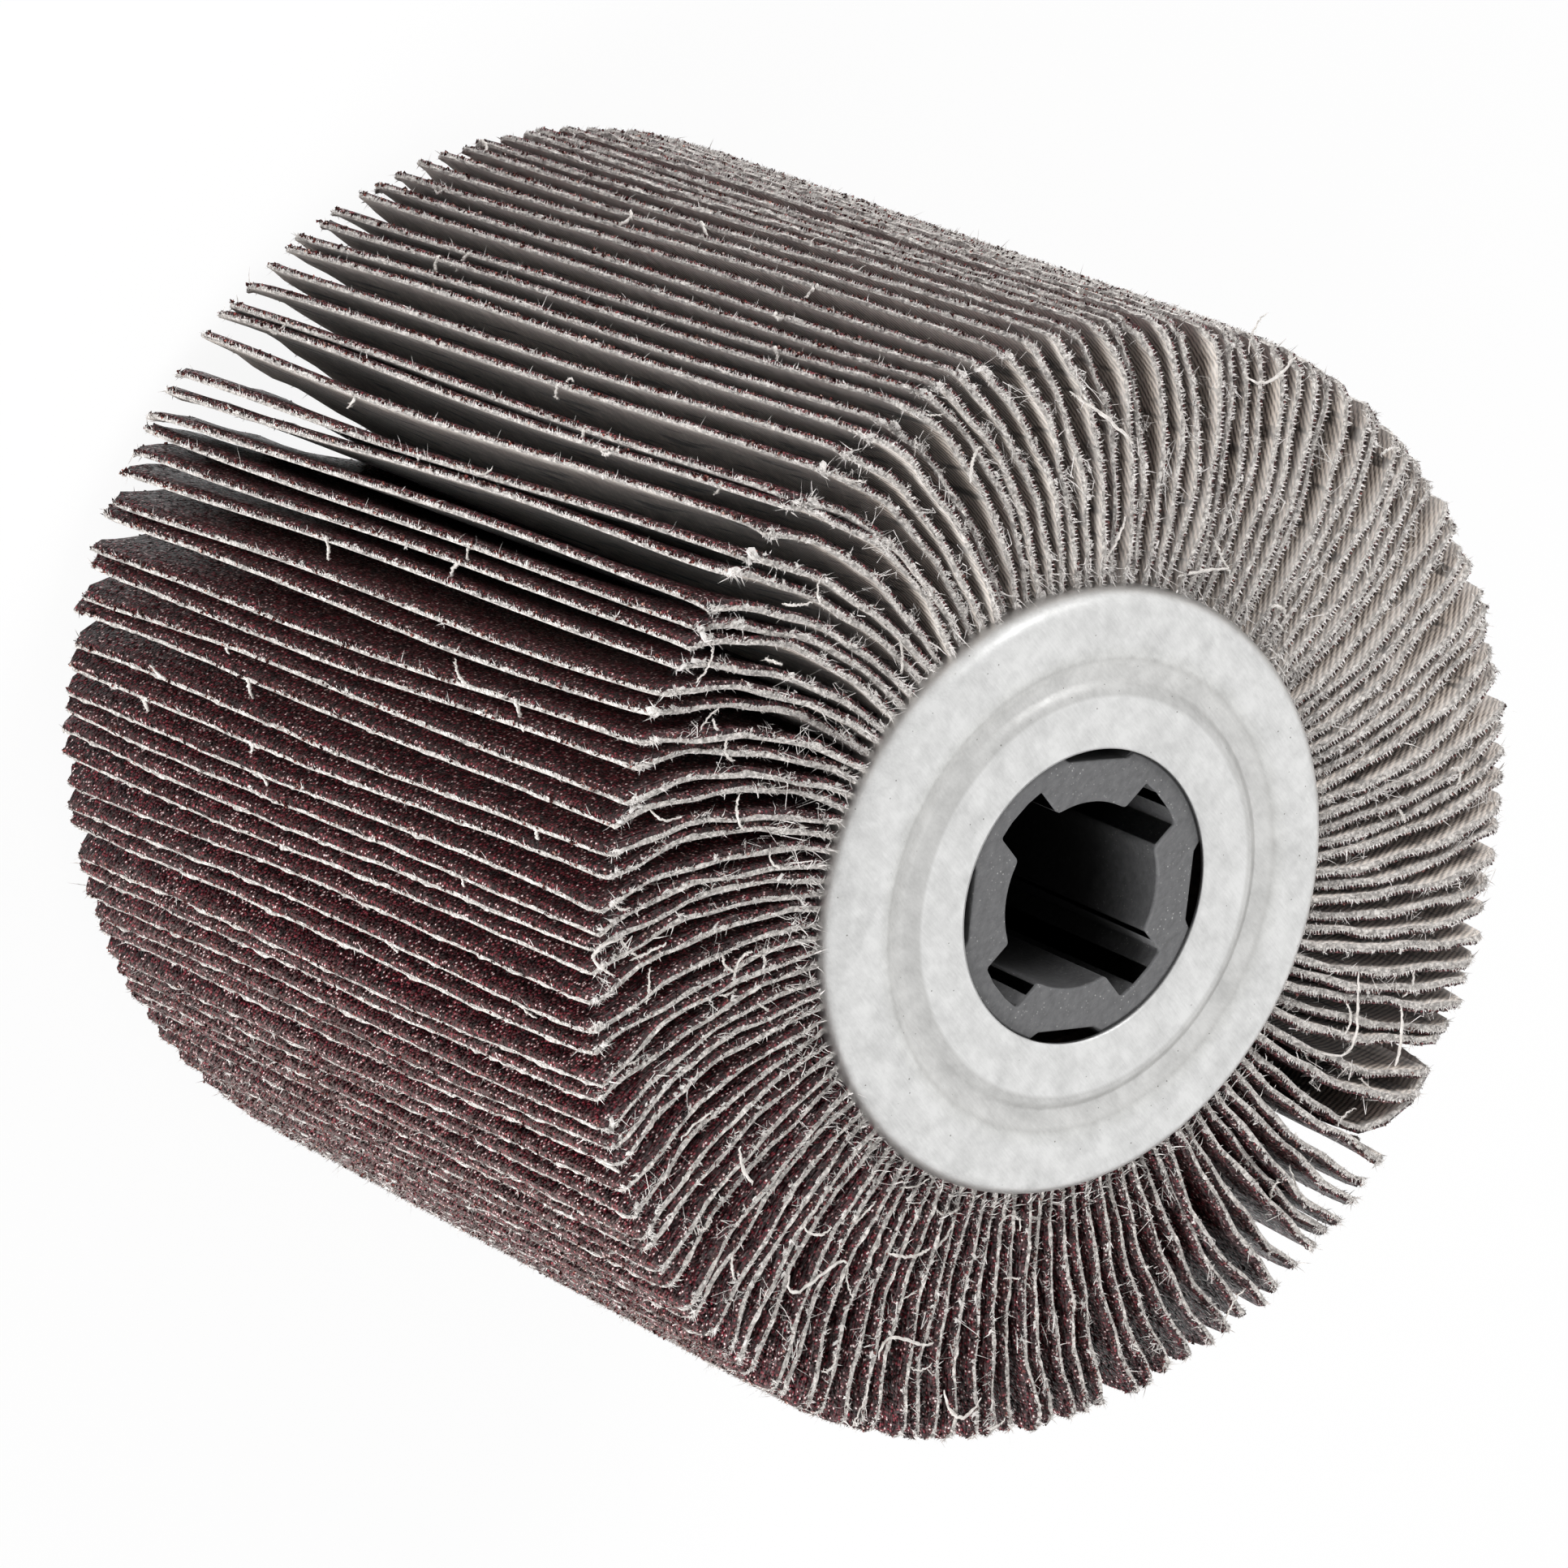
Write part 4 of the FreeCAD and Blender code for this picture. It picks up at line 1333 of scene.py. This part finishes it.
@dataclass
class LooseYarns:
    """Yarns that have come out of the cloth and lie across the flaps."""

    flaps: FlapRing
    on_front: int = 60
    on_drum: int = 116
    radius: float = 0.13 * MM
    sides: int = 5
    steps: int = 22
    kinks: float = 0.05 * MM
    front_length: tuple = (1.6 * MM, 5.0 * MM)
    drum_length: tuple = (1.1 * MM, 3.5 * MM)
    # Fuzz on each yarn; its fibres are finer than the render shows and are drawn 0.09 mm wide.
    hairs: int = 34
    hair_length: tuple = (0.15 * MM, 0.5 * MM)
    hair_width: float = 0.09 * MM
    hair_curl: float = 0.12 * MM
    # The longest yarns on the front, each by its corners: clock angle and distance from the axis.
    seen_height: float = 0.55 * MM
    seen_on_front: tuple = (
        ((105.1, 50.4), (109.0, 52.4), (111.9, 53.2)),
        ((102.5, 42.8), (107.5, 44.2), (111.1, 46.6), (113.7, 45.2), (115.2, 42.6)),
        ((11.6, 55.6), (15.0, 56.1), (16.4, 58.0), (17.1, 59.4)), ((11.4, 34.1), (16.0, 35.4), (21.4, 36.9)),
        ((33.4, 36.4), (35.4, 37.2), (37.7, 36.9)),
        ((180.5, 54.8), (182.5, 56.8), (184.5, 56.0), (186.0, 54.0)),
        ((189.5, 49.0), (192.5, 49.4), (196.2, 49.5), (197.0, 52.0)),
        ((208.8, 44.7), (211.0, 46.6), (212.9, 50.0), (215.6, 49.5)),
        ((229.5, 46.5), (232.5, 46.8), (235.4, 46.0)), ((332.0, 48.2), (333.2, 50.6), (334.6, 51.2)),
        ((347.3, 53.5), (352.5, 50.2), (357.2, 47.2)), ((357.6, 39.5), (356.4, 37.0), (354.0, 34.7)),
        ((196.0, 39.5), (198.6, 41.0), (203.0, 41.6)), ((262.0, 57.8), (264.2, 60.4), (265.6, 57.4)),
    )

    def tube(self, parts: MeshParts, path: np.ndarray, radius: float, tapered: bool = False) -> None:
        """Adds a yarn along a path, with its fuzz.

        Args:
            parts: what gets it.
            path: points of its middle line.
            radius: its radius at the middle.
            tapered: whether it is thickest where it starts.
        """
        tangent = unit(np.gradient(path, axis=0))
        side = unit(np.cross(tangent, np.array([0.31, 0.52, 0.8])))
        other = np.cross(tangent, side)
        share = np.linspace(0, 1, len(path))
        chance = self.flaps.chance
        shape = (1.0 - share) ** 0.5 if tapered else np.sin(math.pi * share) ** 0.4
        size = radius * (0.4 + 0.6 * shape) * chance.uniform(0.75, 1.3, len(path))
        turn = np.arange(self.sides) * 2 * math.pi / self.sides
        ring = side[:, None] * np.cos(turn)[None, :, None] + other[:, None] * np.sin(turn)[None, :, None]
        points = path[:, None] + ring * size[:, None, None]
        step, at = np.meshgrid(np.arange(len(path) - 1), np.arange(self.sides), indexing="ij")
        first = step * self.sides + at
        second = step * self.sides + (at + 1) % self.sides
        faces = np.stack([first, second, second + self.sides, first + self.sides], axis=-1)
        parts.add(points, faces.reshape(-1, 4), 0, True)
        many = (self.hairs, 3)
        place = chance.integers(0, len(path) - 1, self.hairs)
        way = unit(chance.normal(0, 1, many) + tangent[place] * chance.choice([-1.5, 1.5], (self.hairs, 1)))
        lengths, widths = chance.uniform(*self.hair_length, self.hairs), np.full(self.hairs, self.hair_width)
        curls, beside = chance.normal(0, self.hair_curl, many), chance.normal(0, 1, many)
        strands(parts, path[place], way, lengths, widths, curls, 2, beside)

    def smooth_path(self, corners: list) -> np.ndarray:
        """A smooth line through corners, with small kinks.

        Args:
            corners: points that it passes.

        Returns:
            Its points.
        """
        corners = np.array(corners)
        place = np.linspace(0, 1, len(corners))
        want = np.linspace(0, 1, self.steps)
        degree = min(3, len(corners) - 1)
        line = [np.polyval(np.polyfit(place, corners[:, axis], degree), want) for axis in range(3)]
        line = np.stack(line, axis=1)
        return line + self.flaps.chance.normal(0, self.kinks, line.shape)

    def lay_seen(self, parts: MeshParts) -> None:
        """Adds the longest yarns on the front.

        Args:
            parts: what gets them.
        """
        ring = self.flaps
        for points in self.seen_on_front:
            corners = []
            for clock, radius in points:
                angle = math.radians(ring.twelve_o_clock - clock)
                height = ring.base + ring.width + self.seen_height
                corners.append((radius * MM * math.cos(angle), radius * MM * math.sin(angle), height))
            self.tube(parts, self.smooth_path(corners), self.radius * 1.35)

    def lay_on_front(self, parts: MeshParts) -> None:
        """Adds the scattered yarns on the front, which lie mostly round the wheel or across it.

        Args:
            parts: what gets them.
        """
        chance, top = self.flaps.chance, self.flaps.base + self.flaps.width
        for _ in range(self.on_front):
            angle, radius = chance.uniform(0, 2 * math.pi), chance.uniform(35, 58) * MM
            way = chance.normal(0, 1) + math.pi / 2 * chance.choice([0, 1])
            length = chance.uniform(*self.front_length)
            bend = chance.normal(0, 0.35)
            line = [np.array([radius * math.cos(angle), radius * math.sin(angle), top + 0.1 * MM])]
            for step in range(1, 5):
                heading = angle + way + bend * step
                move = np.array([math.cos(heading), math.sin(heading), chance.normal(0.02, 0.1)])
                line.append(line[-1] + move * length / 4)
            self.tube(parts, self.smooth_path(line), self.radius * chance.uniform(0.6, 1.1))

    def lay_on_drum(self, parts: MeshParts) -> None:
        """Adds the yarns that lie on the tips of the flaps: they rise first and then lie down.

        Args:
            parts: what gets them.
        """
        ring, chance = self.flaps, self.flaps.chance
        flap = chance.integers(0, ring.count, self.on_drum)
        height = chance.uniform(0.03, 0.97, self.on_drum)
        tips = np.ones(self.on_drum)
        starts, sides = (ring.at(grid, flap, height, tips) for grid in (ring.middle, ring.cloth_way))
        for start, side in zip(starts, sides):
            out = unit(start * np.array([1.0, 1.0, 0.0]))
            length = chance.uniform(*self.drum_length)
            heading, bend = chance.normal(0, 0.9), chance.normal(0, 0.45)
            line = [start]
            for step in range(1, 5):
                now = heading + bend * step
                rise = chance.normal(0.12 if step < 2 else -0.05, 0.08)
                move = side * math.cos(now) + UP * math.sin(now) + out * rise
                line.append(line[-1] + move * length / 4)
            self.tube(parts, self.smooth_path(line), self.radius * chance.uniform(1.0, 1.9), True)

    def build(self, name: str, material: bpy.types.Material) -> bpy.types.Object:
        """Makes all loose yarns.

        Args:
            name: the piece's name.
            material: the yarn's finish.

        Returns:
            The piece.
        """
        parts = MeshParts()
        self.lay_seen(parts)
        self.lay_on_front(parts)
        self.lay_on_drum(parts)
        return parts.piece(name, [material])


def rounded(corners: list, steps: int = 7) -> list:
    """A closed outline whose corners are rounded.

    Args:
        corners: points with the radius of each, as (across, along, radius).
        steps: lengths in each round.

    Returns:
        The outline's points.
    """
    line = []
    for number, (x, y, radius) in enumerate(corners):
        here = Vector((x, y))
        before = Vector(corners[number - 1][:2]) - here
        after = Vector(corners[(number + 1) % len(corners)][:2]) - here
        angle = before.angle(after)
        if radius <= 0 or angle > math.radians(179.5):
            line.append(here)
            continue
        reach = min(radius / math.tan(angle / 2), before.length * 0.49, after.length * 0.49)
        radius = reach * math.tan(angle / 2)
        centre = here + (before.normalized() + after.normalized()).normalized() * radius / math.sin(angle / 2)
        start, end = here + before.normalized() * reach, here + after.normalized() * reach
        first, last = start - centre, end - centre
        turn = first.angle_signed(last)
        for step in range(steps + 1):
            line.append(centre + Matrix.Rotation(-turn * step / steps, 2) @ first)
    return line


def turned_round(line: np.ndarray, turns: int) -> tuple[np.ndarray, np.ndarray]:
    """Points and faces of a closed outline turned round the axis.

    Args:
        line: the outline, as distance from the axis and height.
        turns: steps round the axis.

    Returns:
        The points and the faces.
    """
    angle = np.arange(turns)[:, None] * 2 * math.pi / turns
    radius, lift = line[:, 0], line[:, 1]
    points = np.stack([np.cos(angle) * radius, np.sin(angle) * radius, lift + 0 * angle], axis=-1)
    count = len(line)
    turn, at = np.meshgrid(np.arange(turns), np.arange(count), indexing="ij")
    here, beside = turn * count, (turn + 1) % turns * count
    faces = np.stack([here + at, beside + at, beside + (at + 1) % count, here + (at + 1) % count], axis=-1)
    return points, faces.reshape(-1, 4)


@dataclass
class Flange:
    """A flange pressed from sheet, with its groove, its rounded rim and its skirt."""

    end: End
    height: float = 105.6 * MM
    hole: float = 15.75 * MM
    rim: float = 32.5 * MM
    sheet: float = 0.8 * MM
    bend: float = 2.6 * MM
    skirt: float = 5.4 * MM
    # The pressed ring groove falls to its valley and rises more gently outside it.
    groove_inner: float = 21.5 * MM
    groove_valley: float = 23.2 * MM
    groove_outer: float = 26.9 * MM
    groove_depth: float = 0.85 * MM
    # The cut edges of the sheet are a little thinner and rounded.
    cut_edge: float = 0.72
    cut_bulge: float = 0.05 * MM
    turns: int = 200

    def middle_line(self) -> np.ndarray:
        """The section's middle line.

        Returns:
            Its points, as distance from the axis and depth below the face.
        """
        half = self.sheet / 2
        inner = np.linspace(self.groove_inner, self.groove_valley, 8)[:-1]
        outer = np.linspace(self.groove_valley, self.groove_outer, 12)
        fall = (inner - self.groove_inner) / (self.groove_valley - self.groove_inner)
        rise = (outer - self.groove_valley) / (self.groove_outer - self.groove_valley)
        deep = np.concatenate([0.5 - 0.5 * np.cos(np.pi * fall), 0.5 + 0.5 * np.cos(np.pi * rise)])
        groove = np.stack([np.concatenate([inner, outer]), deep * self.groove_depth + half], axis=1)
        centre = np.array([self.rim - self.bend, self.bend])
        angle = np.linspace(0, math.pi / 2, 11)[:, None]
        bend = centre + (self.bend - half) * np.concatenate([np.sin(angle), -np.cos(angle)], axis=1)
        start = np.array([(self.hole, half), (self.hole + 0.4 * MM, half), (self.hole + 2.5 * MM, half)])
        end = np.array([(self.rim - half, self.skirt - 0.4 * MM), (self.rim - half, self.skirt)])
        return np.concatenate([start, groove, bend, end])

    def build(self, material: bpy.types.Material) -> bpy.types.Object:
        """Turns the section round the axis.

        Args:
            material: the sheet's finish.

        Returns:
            The piece.
        """
        middle = self.middle_line()
        tangent = unit(np.gradient(middle, axis=0))
        normal = np.stack([tangent[:, 1], -tangent[:, 0]], axis=1)
        thick = np.full(len(middle), self.sheet / 2)
        thick[[0, -1]] *= self.cut_edge
        outer, inner = middle + normal * thick[:, None], middle - normal * thick[:, None]
        caps = middle[[0, -1]] + tangent[[0, -1]] * np.array([[-1.0], [1.0]]) * self.cut_bulge
        line = np.concatenate([caps[:1], outer, caps[1:], inner[::-1]])
        front = self.end is End.FRONT
        line[:, 1] = self.height - line[:, 1] if front else line[:, 1]
        points, faces = turned_round(line, self.turns)
        parts = MeshParts()
        parts.add(points, faces[:, ::-1] if front else faces, 0, True)
        return parts.piece(f"{self.end.value}_flange_pressing", [material])


@dataclass
class Hub:
    """The moulded hub, whose edges are softly rounded."""

    bore: float = 10.0 * MM
    keys: int = 4
    # Keyways: half their width, their floor's distance from the axis, how far the floor arches
    # past it, and the radii in the floor and at the mouth, which opens at a share of the bore.
    keyway_half: float = 3.25 * MM
    keyway_floor: float = 13.0 * MM
    arch: float = 0.35 * MM
    floor_radius: float = 0.4 * MM
    arch_radius: float = 1.2 * MM
    mouth: float = 0.6 * MM
    mouth_at: float = 0.955
    flute_half: float = 3.7 * MM
    flute_floor: float = 14.4 * MM
    barrel: float = 17.5 * MM
    spigot: float = 15.65 * MM
    shoulder: float = 0.8 * MM
    spigot_end: float = 0.6 * MM
    height: float = 105.6 * MM
    # The radius of all outer edges.
    edge: float = 0.22 * MM

    def arc(self, radius: float, start: float, end: float, steps: int) -> list:
        """Points of an arc about the axis, between two angles."""
        angles = np.linspace(start, end, steps)
        return [(radius * math.cos(a), radius * math.sin(a)) for a in angles]

    def turned(self, points: list, angle: float) -> list:
        """Points turned about the axis."""
        cosine, sine = math.cos(angle), math.sin(angle)
        return [(x * cosine - y * sine, x * sine + y * cosine) for x, y in points]

    def inside(self) -> list:
        """The outline of the bore and its keyways.

        Returns:
            Its points.
        """
        line = []
        half_mouth = math.asin((self.keyway_half + self.mouth) / self.bore)
        side = [
            (self.bore * math.cos(half_mouth), self.bore * math.sin(half_mouth), 0),
            (self.bore * self.mouth_at, self.keyway_half, self.mouth),
            (self.keyway_floor, self.keyway_half, self.floor_radius),
            (self.keyway_floor + self.arch, self.keyway_half * 0.4, self.arch_radius),
        ]
        key = rounded([(x, -y, radius) for x, y, radius in side] + side[::-1], 4)
        key = [(point[0], point[1]) for point in key]
        quarter = 2 * math.pi / self.keys
        for number in range(self.keys):
            line += self.turned(key, quarter * number)
            line += self.turned(
                self.arc(self.bore, half_mouth, quarter - half_mouth, 14)[1:-1], quarter * number
            )
        return line

    def outside(self, radius: float) -> list:
        """The outline of the hub and its flutes.

        Args:
            radius: the hub's radius between the flutes.

        Returns:
            Its points.
        """
        line = []
        quarter = 2 * math.pi / self.keys
        gap = radius - self.flute_floor
        half = math.atan2(self.flute_half + gap * 0.93, radius)
        flute = [(self.flute_floor, -self.flute_half), (self.flute_floor, self.flute_half)]
        for number in range(self.keys):
            line += self.turned(flute, quarter * (number + 0.5))
            line += self.turned(self.arc(radius, half, quarter - half, 22), quarter * (number + 0.5))
        return line

    def plate(
        self, name: str, outline: list, low: float, high: float, material: bpy.types.Material
    ) -> bpy.types.Object:
        """Makes a tube between two heights with rounded edges.

        Args:
            name: its name.
            outline: its outside.
            low: its lower end.
            high: its upper end.
            material: its finish.

        Returns:
            The piece.
        """
        curve = bpy.data.curves.new(name, "CURVE")
        curve.dimensions = "2D"
        curve.fill_mode = "BOTH"
        curve.extrude = (high - low) / 2 - self.edge
        curve.bevel_depth = self.edge
        curve.bevel_resolution = 3
        curve.offset = -self.edge
        for points in (outline, self.inside()):
            spline = curve.splines.new("POLY")
            spline.points.add(len(points) - 1)
            for place, (x, y) in zip(spline.points, points):
                place.co = (x, y, 0, 1)
            spline.use_cyclic_u = True
        holder = bpy.data.objects.new(f"{name}_outline", curve)
        bpy.context.scene.collection.objects.link(holder)
        mesh = bpy.data.meshes.new_from_object(holder.evaluated_get(bpy.context.evaluated_depsgraph_get()))
        bpy.data.objects.remove(holder)
        mesh.name = name
        mesh.transform(Matrix.Translation((0, 0, (low + high) / 2)))
        mesh.materials.clear()
        mesh.materials.append(material)
        made = bpy.data.objects.new(name, mesh)
        bpy.context.scene.collection.objects.link(made)
        return made

    def build(self, material: bpy.types.Material) -> list:
        """Makes the barrel and the spigots that stand in the flanges.

        Args:
            material: the hub's finish.

        Returns:
            The two pieces.
        """
        barrel = self.plate(
            "hub_barrel", self.outside(self.barrel), self.shoulder, self.height - self.shoulder, material
        )
        spigots = self.plate(
            "hub_spigots", self.outside(self.spigot), self.spigot_end, self.height - self.spigot_end, material
        )
        return [barrel, spigots]


@dataclass
class ResinRing:
    """The resin between the hub and the flaps."""

    inner: float = 17.55 * MM
    outer: float = 33.2 * MM
    base: float = 5.8 * MM
    height: float = 94.0 * MM
    # How far the resin's edge is drawn in, and the steps round the axis.
    sag: float = 0.6 * MM
    turns: int = 272

    def build(self, material: bpy.types.Material) -> bpy.types.Object:
        """Turns the ring's section round the axis.

        Args:
            material: the resin's finish.

        Returns:
            The piece.
        """
        top, sag, soft = self.base + self.height, self.sag, self.sag * 0.4
        line = rounded(
            [
                (self.inner, self.base, 0), (self.outer - sag, self.base, soft),
                (self.outer, self.base + sag, soft), (self.outer, top - sag, soft),
                (self.outer - sag, top, soft), (self.inner, top, 0),
            ],
            3,
        )
        points, faces = turned_round(np.array([point[:] for point in line]), self.turns)
        parts = MeshParts()
        parts.add(points, faces)
        return parts.piece("resin_ring", [material])


@dataclass(frozen=True)
class Lamp:
    """A soft box that looks at the wheel."""

    name: str
    way: tuple  # the direction from the wheel to it
    distance: float  # in metres, as its side is
    side: float
    watts: float
    shines: bool = False  # whether polished surfaces show it


@dataclass
class Studio:
    """The floor, the lights and the camera."""

    floor_half: float = 3.0
    # The floor stands clear of the wheel's underside, which would otherwise lie in its plane.
    floor_gap: float = 0.1 * MM
    lamps: tuple = (
        Lamp("top_softbox", (-0.36, 0.82, 0.42), 1.0, 0.4, 8.2),
        Lamp("top_card", (-0.45, 0.7, 0.55), 1.1, 0.3, 0.9, shines=True),
        Lamp("low_softbox", (-0.16, -0.93, 0.33), 1.0, 0.6, 10.6),
        Lamp("left_softbox", (-0.62, -0.76, 0.18), 1.0, 0.8, 4.0),
        Lamp("front_softbox", (0.3, -0.1, 0.95), 1.0, 0.9, 0.75),
    )
    looked_at: tuple = (0, 0, 0.05)
    world_light: float = 0.4
    # Sheet metal shows walls of this level toward one side of the room, and full white elsewhere.
    dark_side: tuple = (-0.6, -0.25, 0.76)
    dark_from: tuple = (0.1, 0.9)
    dark_level: float = 0.9
    camera_place: tuple = (-513.41, -215.29, 707.85)
    camera_right: tuple = (0.48982, 0.63798, 0.59419)
    camera_up: tuple = (-0.63346, 0.72871, -0.26022)
    lens: float = 183.6
    sensor: float = 36.0

    def floor(self) -> bpy.types.Object:
        """Makes the board that the wheel stands on.

        Returns:
            The piece.
        """
        half = self.floor_half
        parts = MeshParts()
        low = -self.floor_gap
        corners = np.array([(-half, -half, low), (half, -half, low), (half, half, low), (-half, half, low)])
        parts.add(corners, np.array([[0, 1, 2, 3]]))
        return parts.piece("floor", [PaleFloor().material()])

    def lights(self) -> None:
        """The soft boxes."""
        for lamp in self.lamps:
            light = bpy.data.lights.new(lamp.name, "AREA")
            light.energy = lamp.watts
            light.size = lamp.side
            made = bpy.data.objects.new(lamp.name, light)
            way = Vector(lamp.way)
            made.location = Vector(self.looked_at) + way.normalized() * lamp.distance
            made.rotation_euler = (-way).to_track_quat("-Z", "Y").to_euler()
            made.visible_glossy = lamp.shines
            bpy.context.scene.collection.objects.link(made)

    def world(self) -> None:
        """A white room, which lights the wheel less than it shows itself."""
        world = bpy.data.worlds.new("studio")
        bpy.context.scene.world = world
        world.use_nodes = True
        tree = world.node_tree
        path, shown = seen_directly(tree)
        level = node(tree, "MapRange", {0: shown, 3: self.world_light, 4: 1.0})
        way = node(tree, "TexCoord").outputs["Generated"]
        toward = node(tree, "VectorMath", {0: way, 1: self.dark_side}, operation="DOT_PRODUCT")
        low, high = self.dark_from
        room = node(
            tree, "MapRange", {0: toward, 1: low, 2: high, 3: 1.0, 4: self.dark_level},
            interpolation_type="SMOOTHSTEP",
        )
        walls = node(tree, "Mix", {0: path.outputs["Is Camera Ray"], 2: room, 3: 1.0})
        light = node(tree, "Math", {0: level, 1: walls}, operation="MULTIPLY")
        feed(tree, tree.nodes["Background"], {"Color": (1, 1, 1, 1), "Strength": light})

    def camera(self) -> None:
        """The camera, placed as the wheel's circles in the photograph ask."""
        right, up = Vector(self.camera_right).normalized(), Vector(self.camera_up).normalized()
        back = right.cross(up).normalized()
        up = back.cross(right)
        turn = Matrix((right, up, back)).transposed().to_4x4()
        view = bpy.data.cameras.new("camera")
        view.lens = self.lens
        view.sensor_width = self.sensor
        view.clip_start = 0.05
        made = bpy.data.objects.new("camera", view)
        made.matrix_world = Matrix.Translation(Vector(self.camera_place) * MM) @ turn
        bpy.context.scene.collection.objects.link(made)
        bpy.context.scene.camera = made


def report(piece: bpy.types.Object) -> None:
    """Logs a piece and its triangles."""
    LOG.info("%s: %d triangles", piece.name, len(piece.data.loops) - 2 * len(piece.data.polygons))


def main() -> None:
    """Builds the wheel's looks in order and reports each piece."""
    logging.basicConfig(level=logging.INFO, format="%(name)s: %(message)s")
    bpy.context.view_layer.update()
    twill = TwillBacking().material()
    edge = FrayedFibre("cut_edge", dark="#99928d", pale="#e2ddd8", patch=0.5 * MM, yarn_gap_shade=0.5).material()
    lint = FrayedFibre().material()
    yarn = FrayedFibre("loose_yarn", dark="#b9b3ad", pale="#e9e4df").material()
    grit = AluminiumOxideGrit().material()
    bead = AluminiumOxideGrit(
        "exposed_grain", tones=("#341416", "#7a3836", "#ac6a60", "#e3bdae"), flash=0.9, dusting=0.0,
        most_dust=0.0,
    ).material()
    sheet, nylon, resin = RolledSheet().material(), MouldedNylon().material(), BondedResin().material()

    ring = FlapRing()
    pieces = []
    quarters = 4
    for number in range(quarters):
        flaps = slice(number * ring.count // quarters, (number + 1) * ring.count // quarters)
        pieces.append(ring.sheets(f"flap_sheets_{number + 1}", flaps, [twill, edge, grit]))
        pieces.append(ring.fray(f"flap_lint_{number + 1}", flaps, lint))
        pieces.append(ring.grains(f"flap_grains_{number + 1}", flaps, bead))
    pieces.append(LooseYarns(ring).build("loose_yarns", yarn))
    pieces.append(ResinRing().build(resin))
    for piece in pieces:
        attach(piece, "root")
        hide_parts("flap_pack")
        report(piece)
    for end in End:
        piece = Flange(end).build(sheet)
        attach(piece, "root")
        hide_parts(f"{end.value}_flange")
        report(piece)
    for piece in Hub().build(nylon):
        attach(piece, "root")
        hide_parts("hub")
        report(piece)

    studio = Studio()
    studio.floor()
    studio.lights()
    studio.world()
    studio.camera()
    bpy.context.scene.view_settings.view_transform = "Standard"


if __name__ == "__main__":
    main()
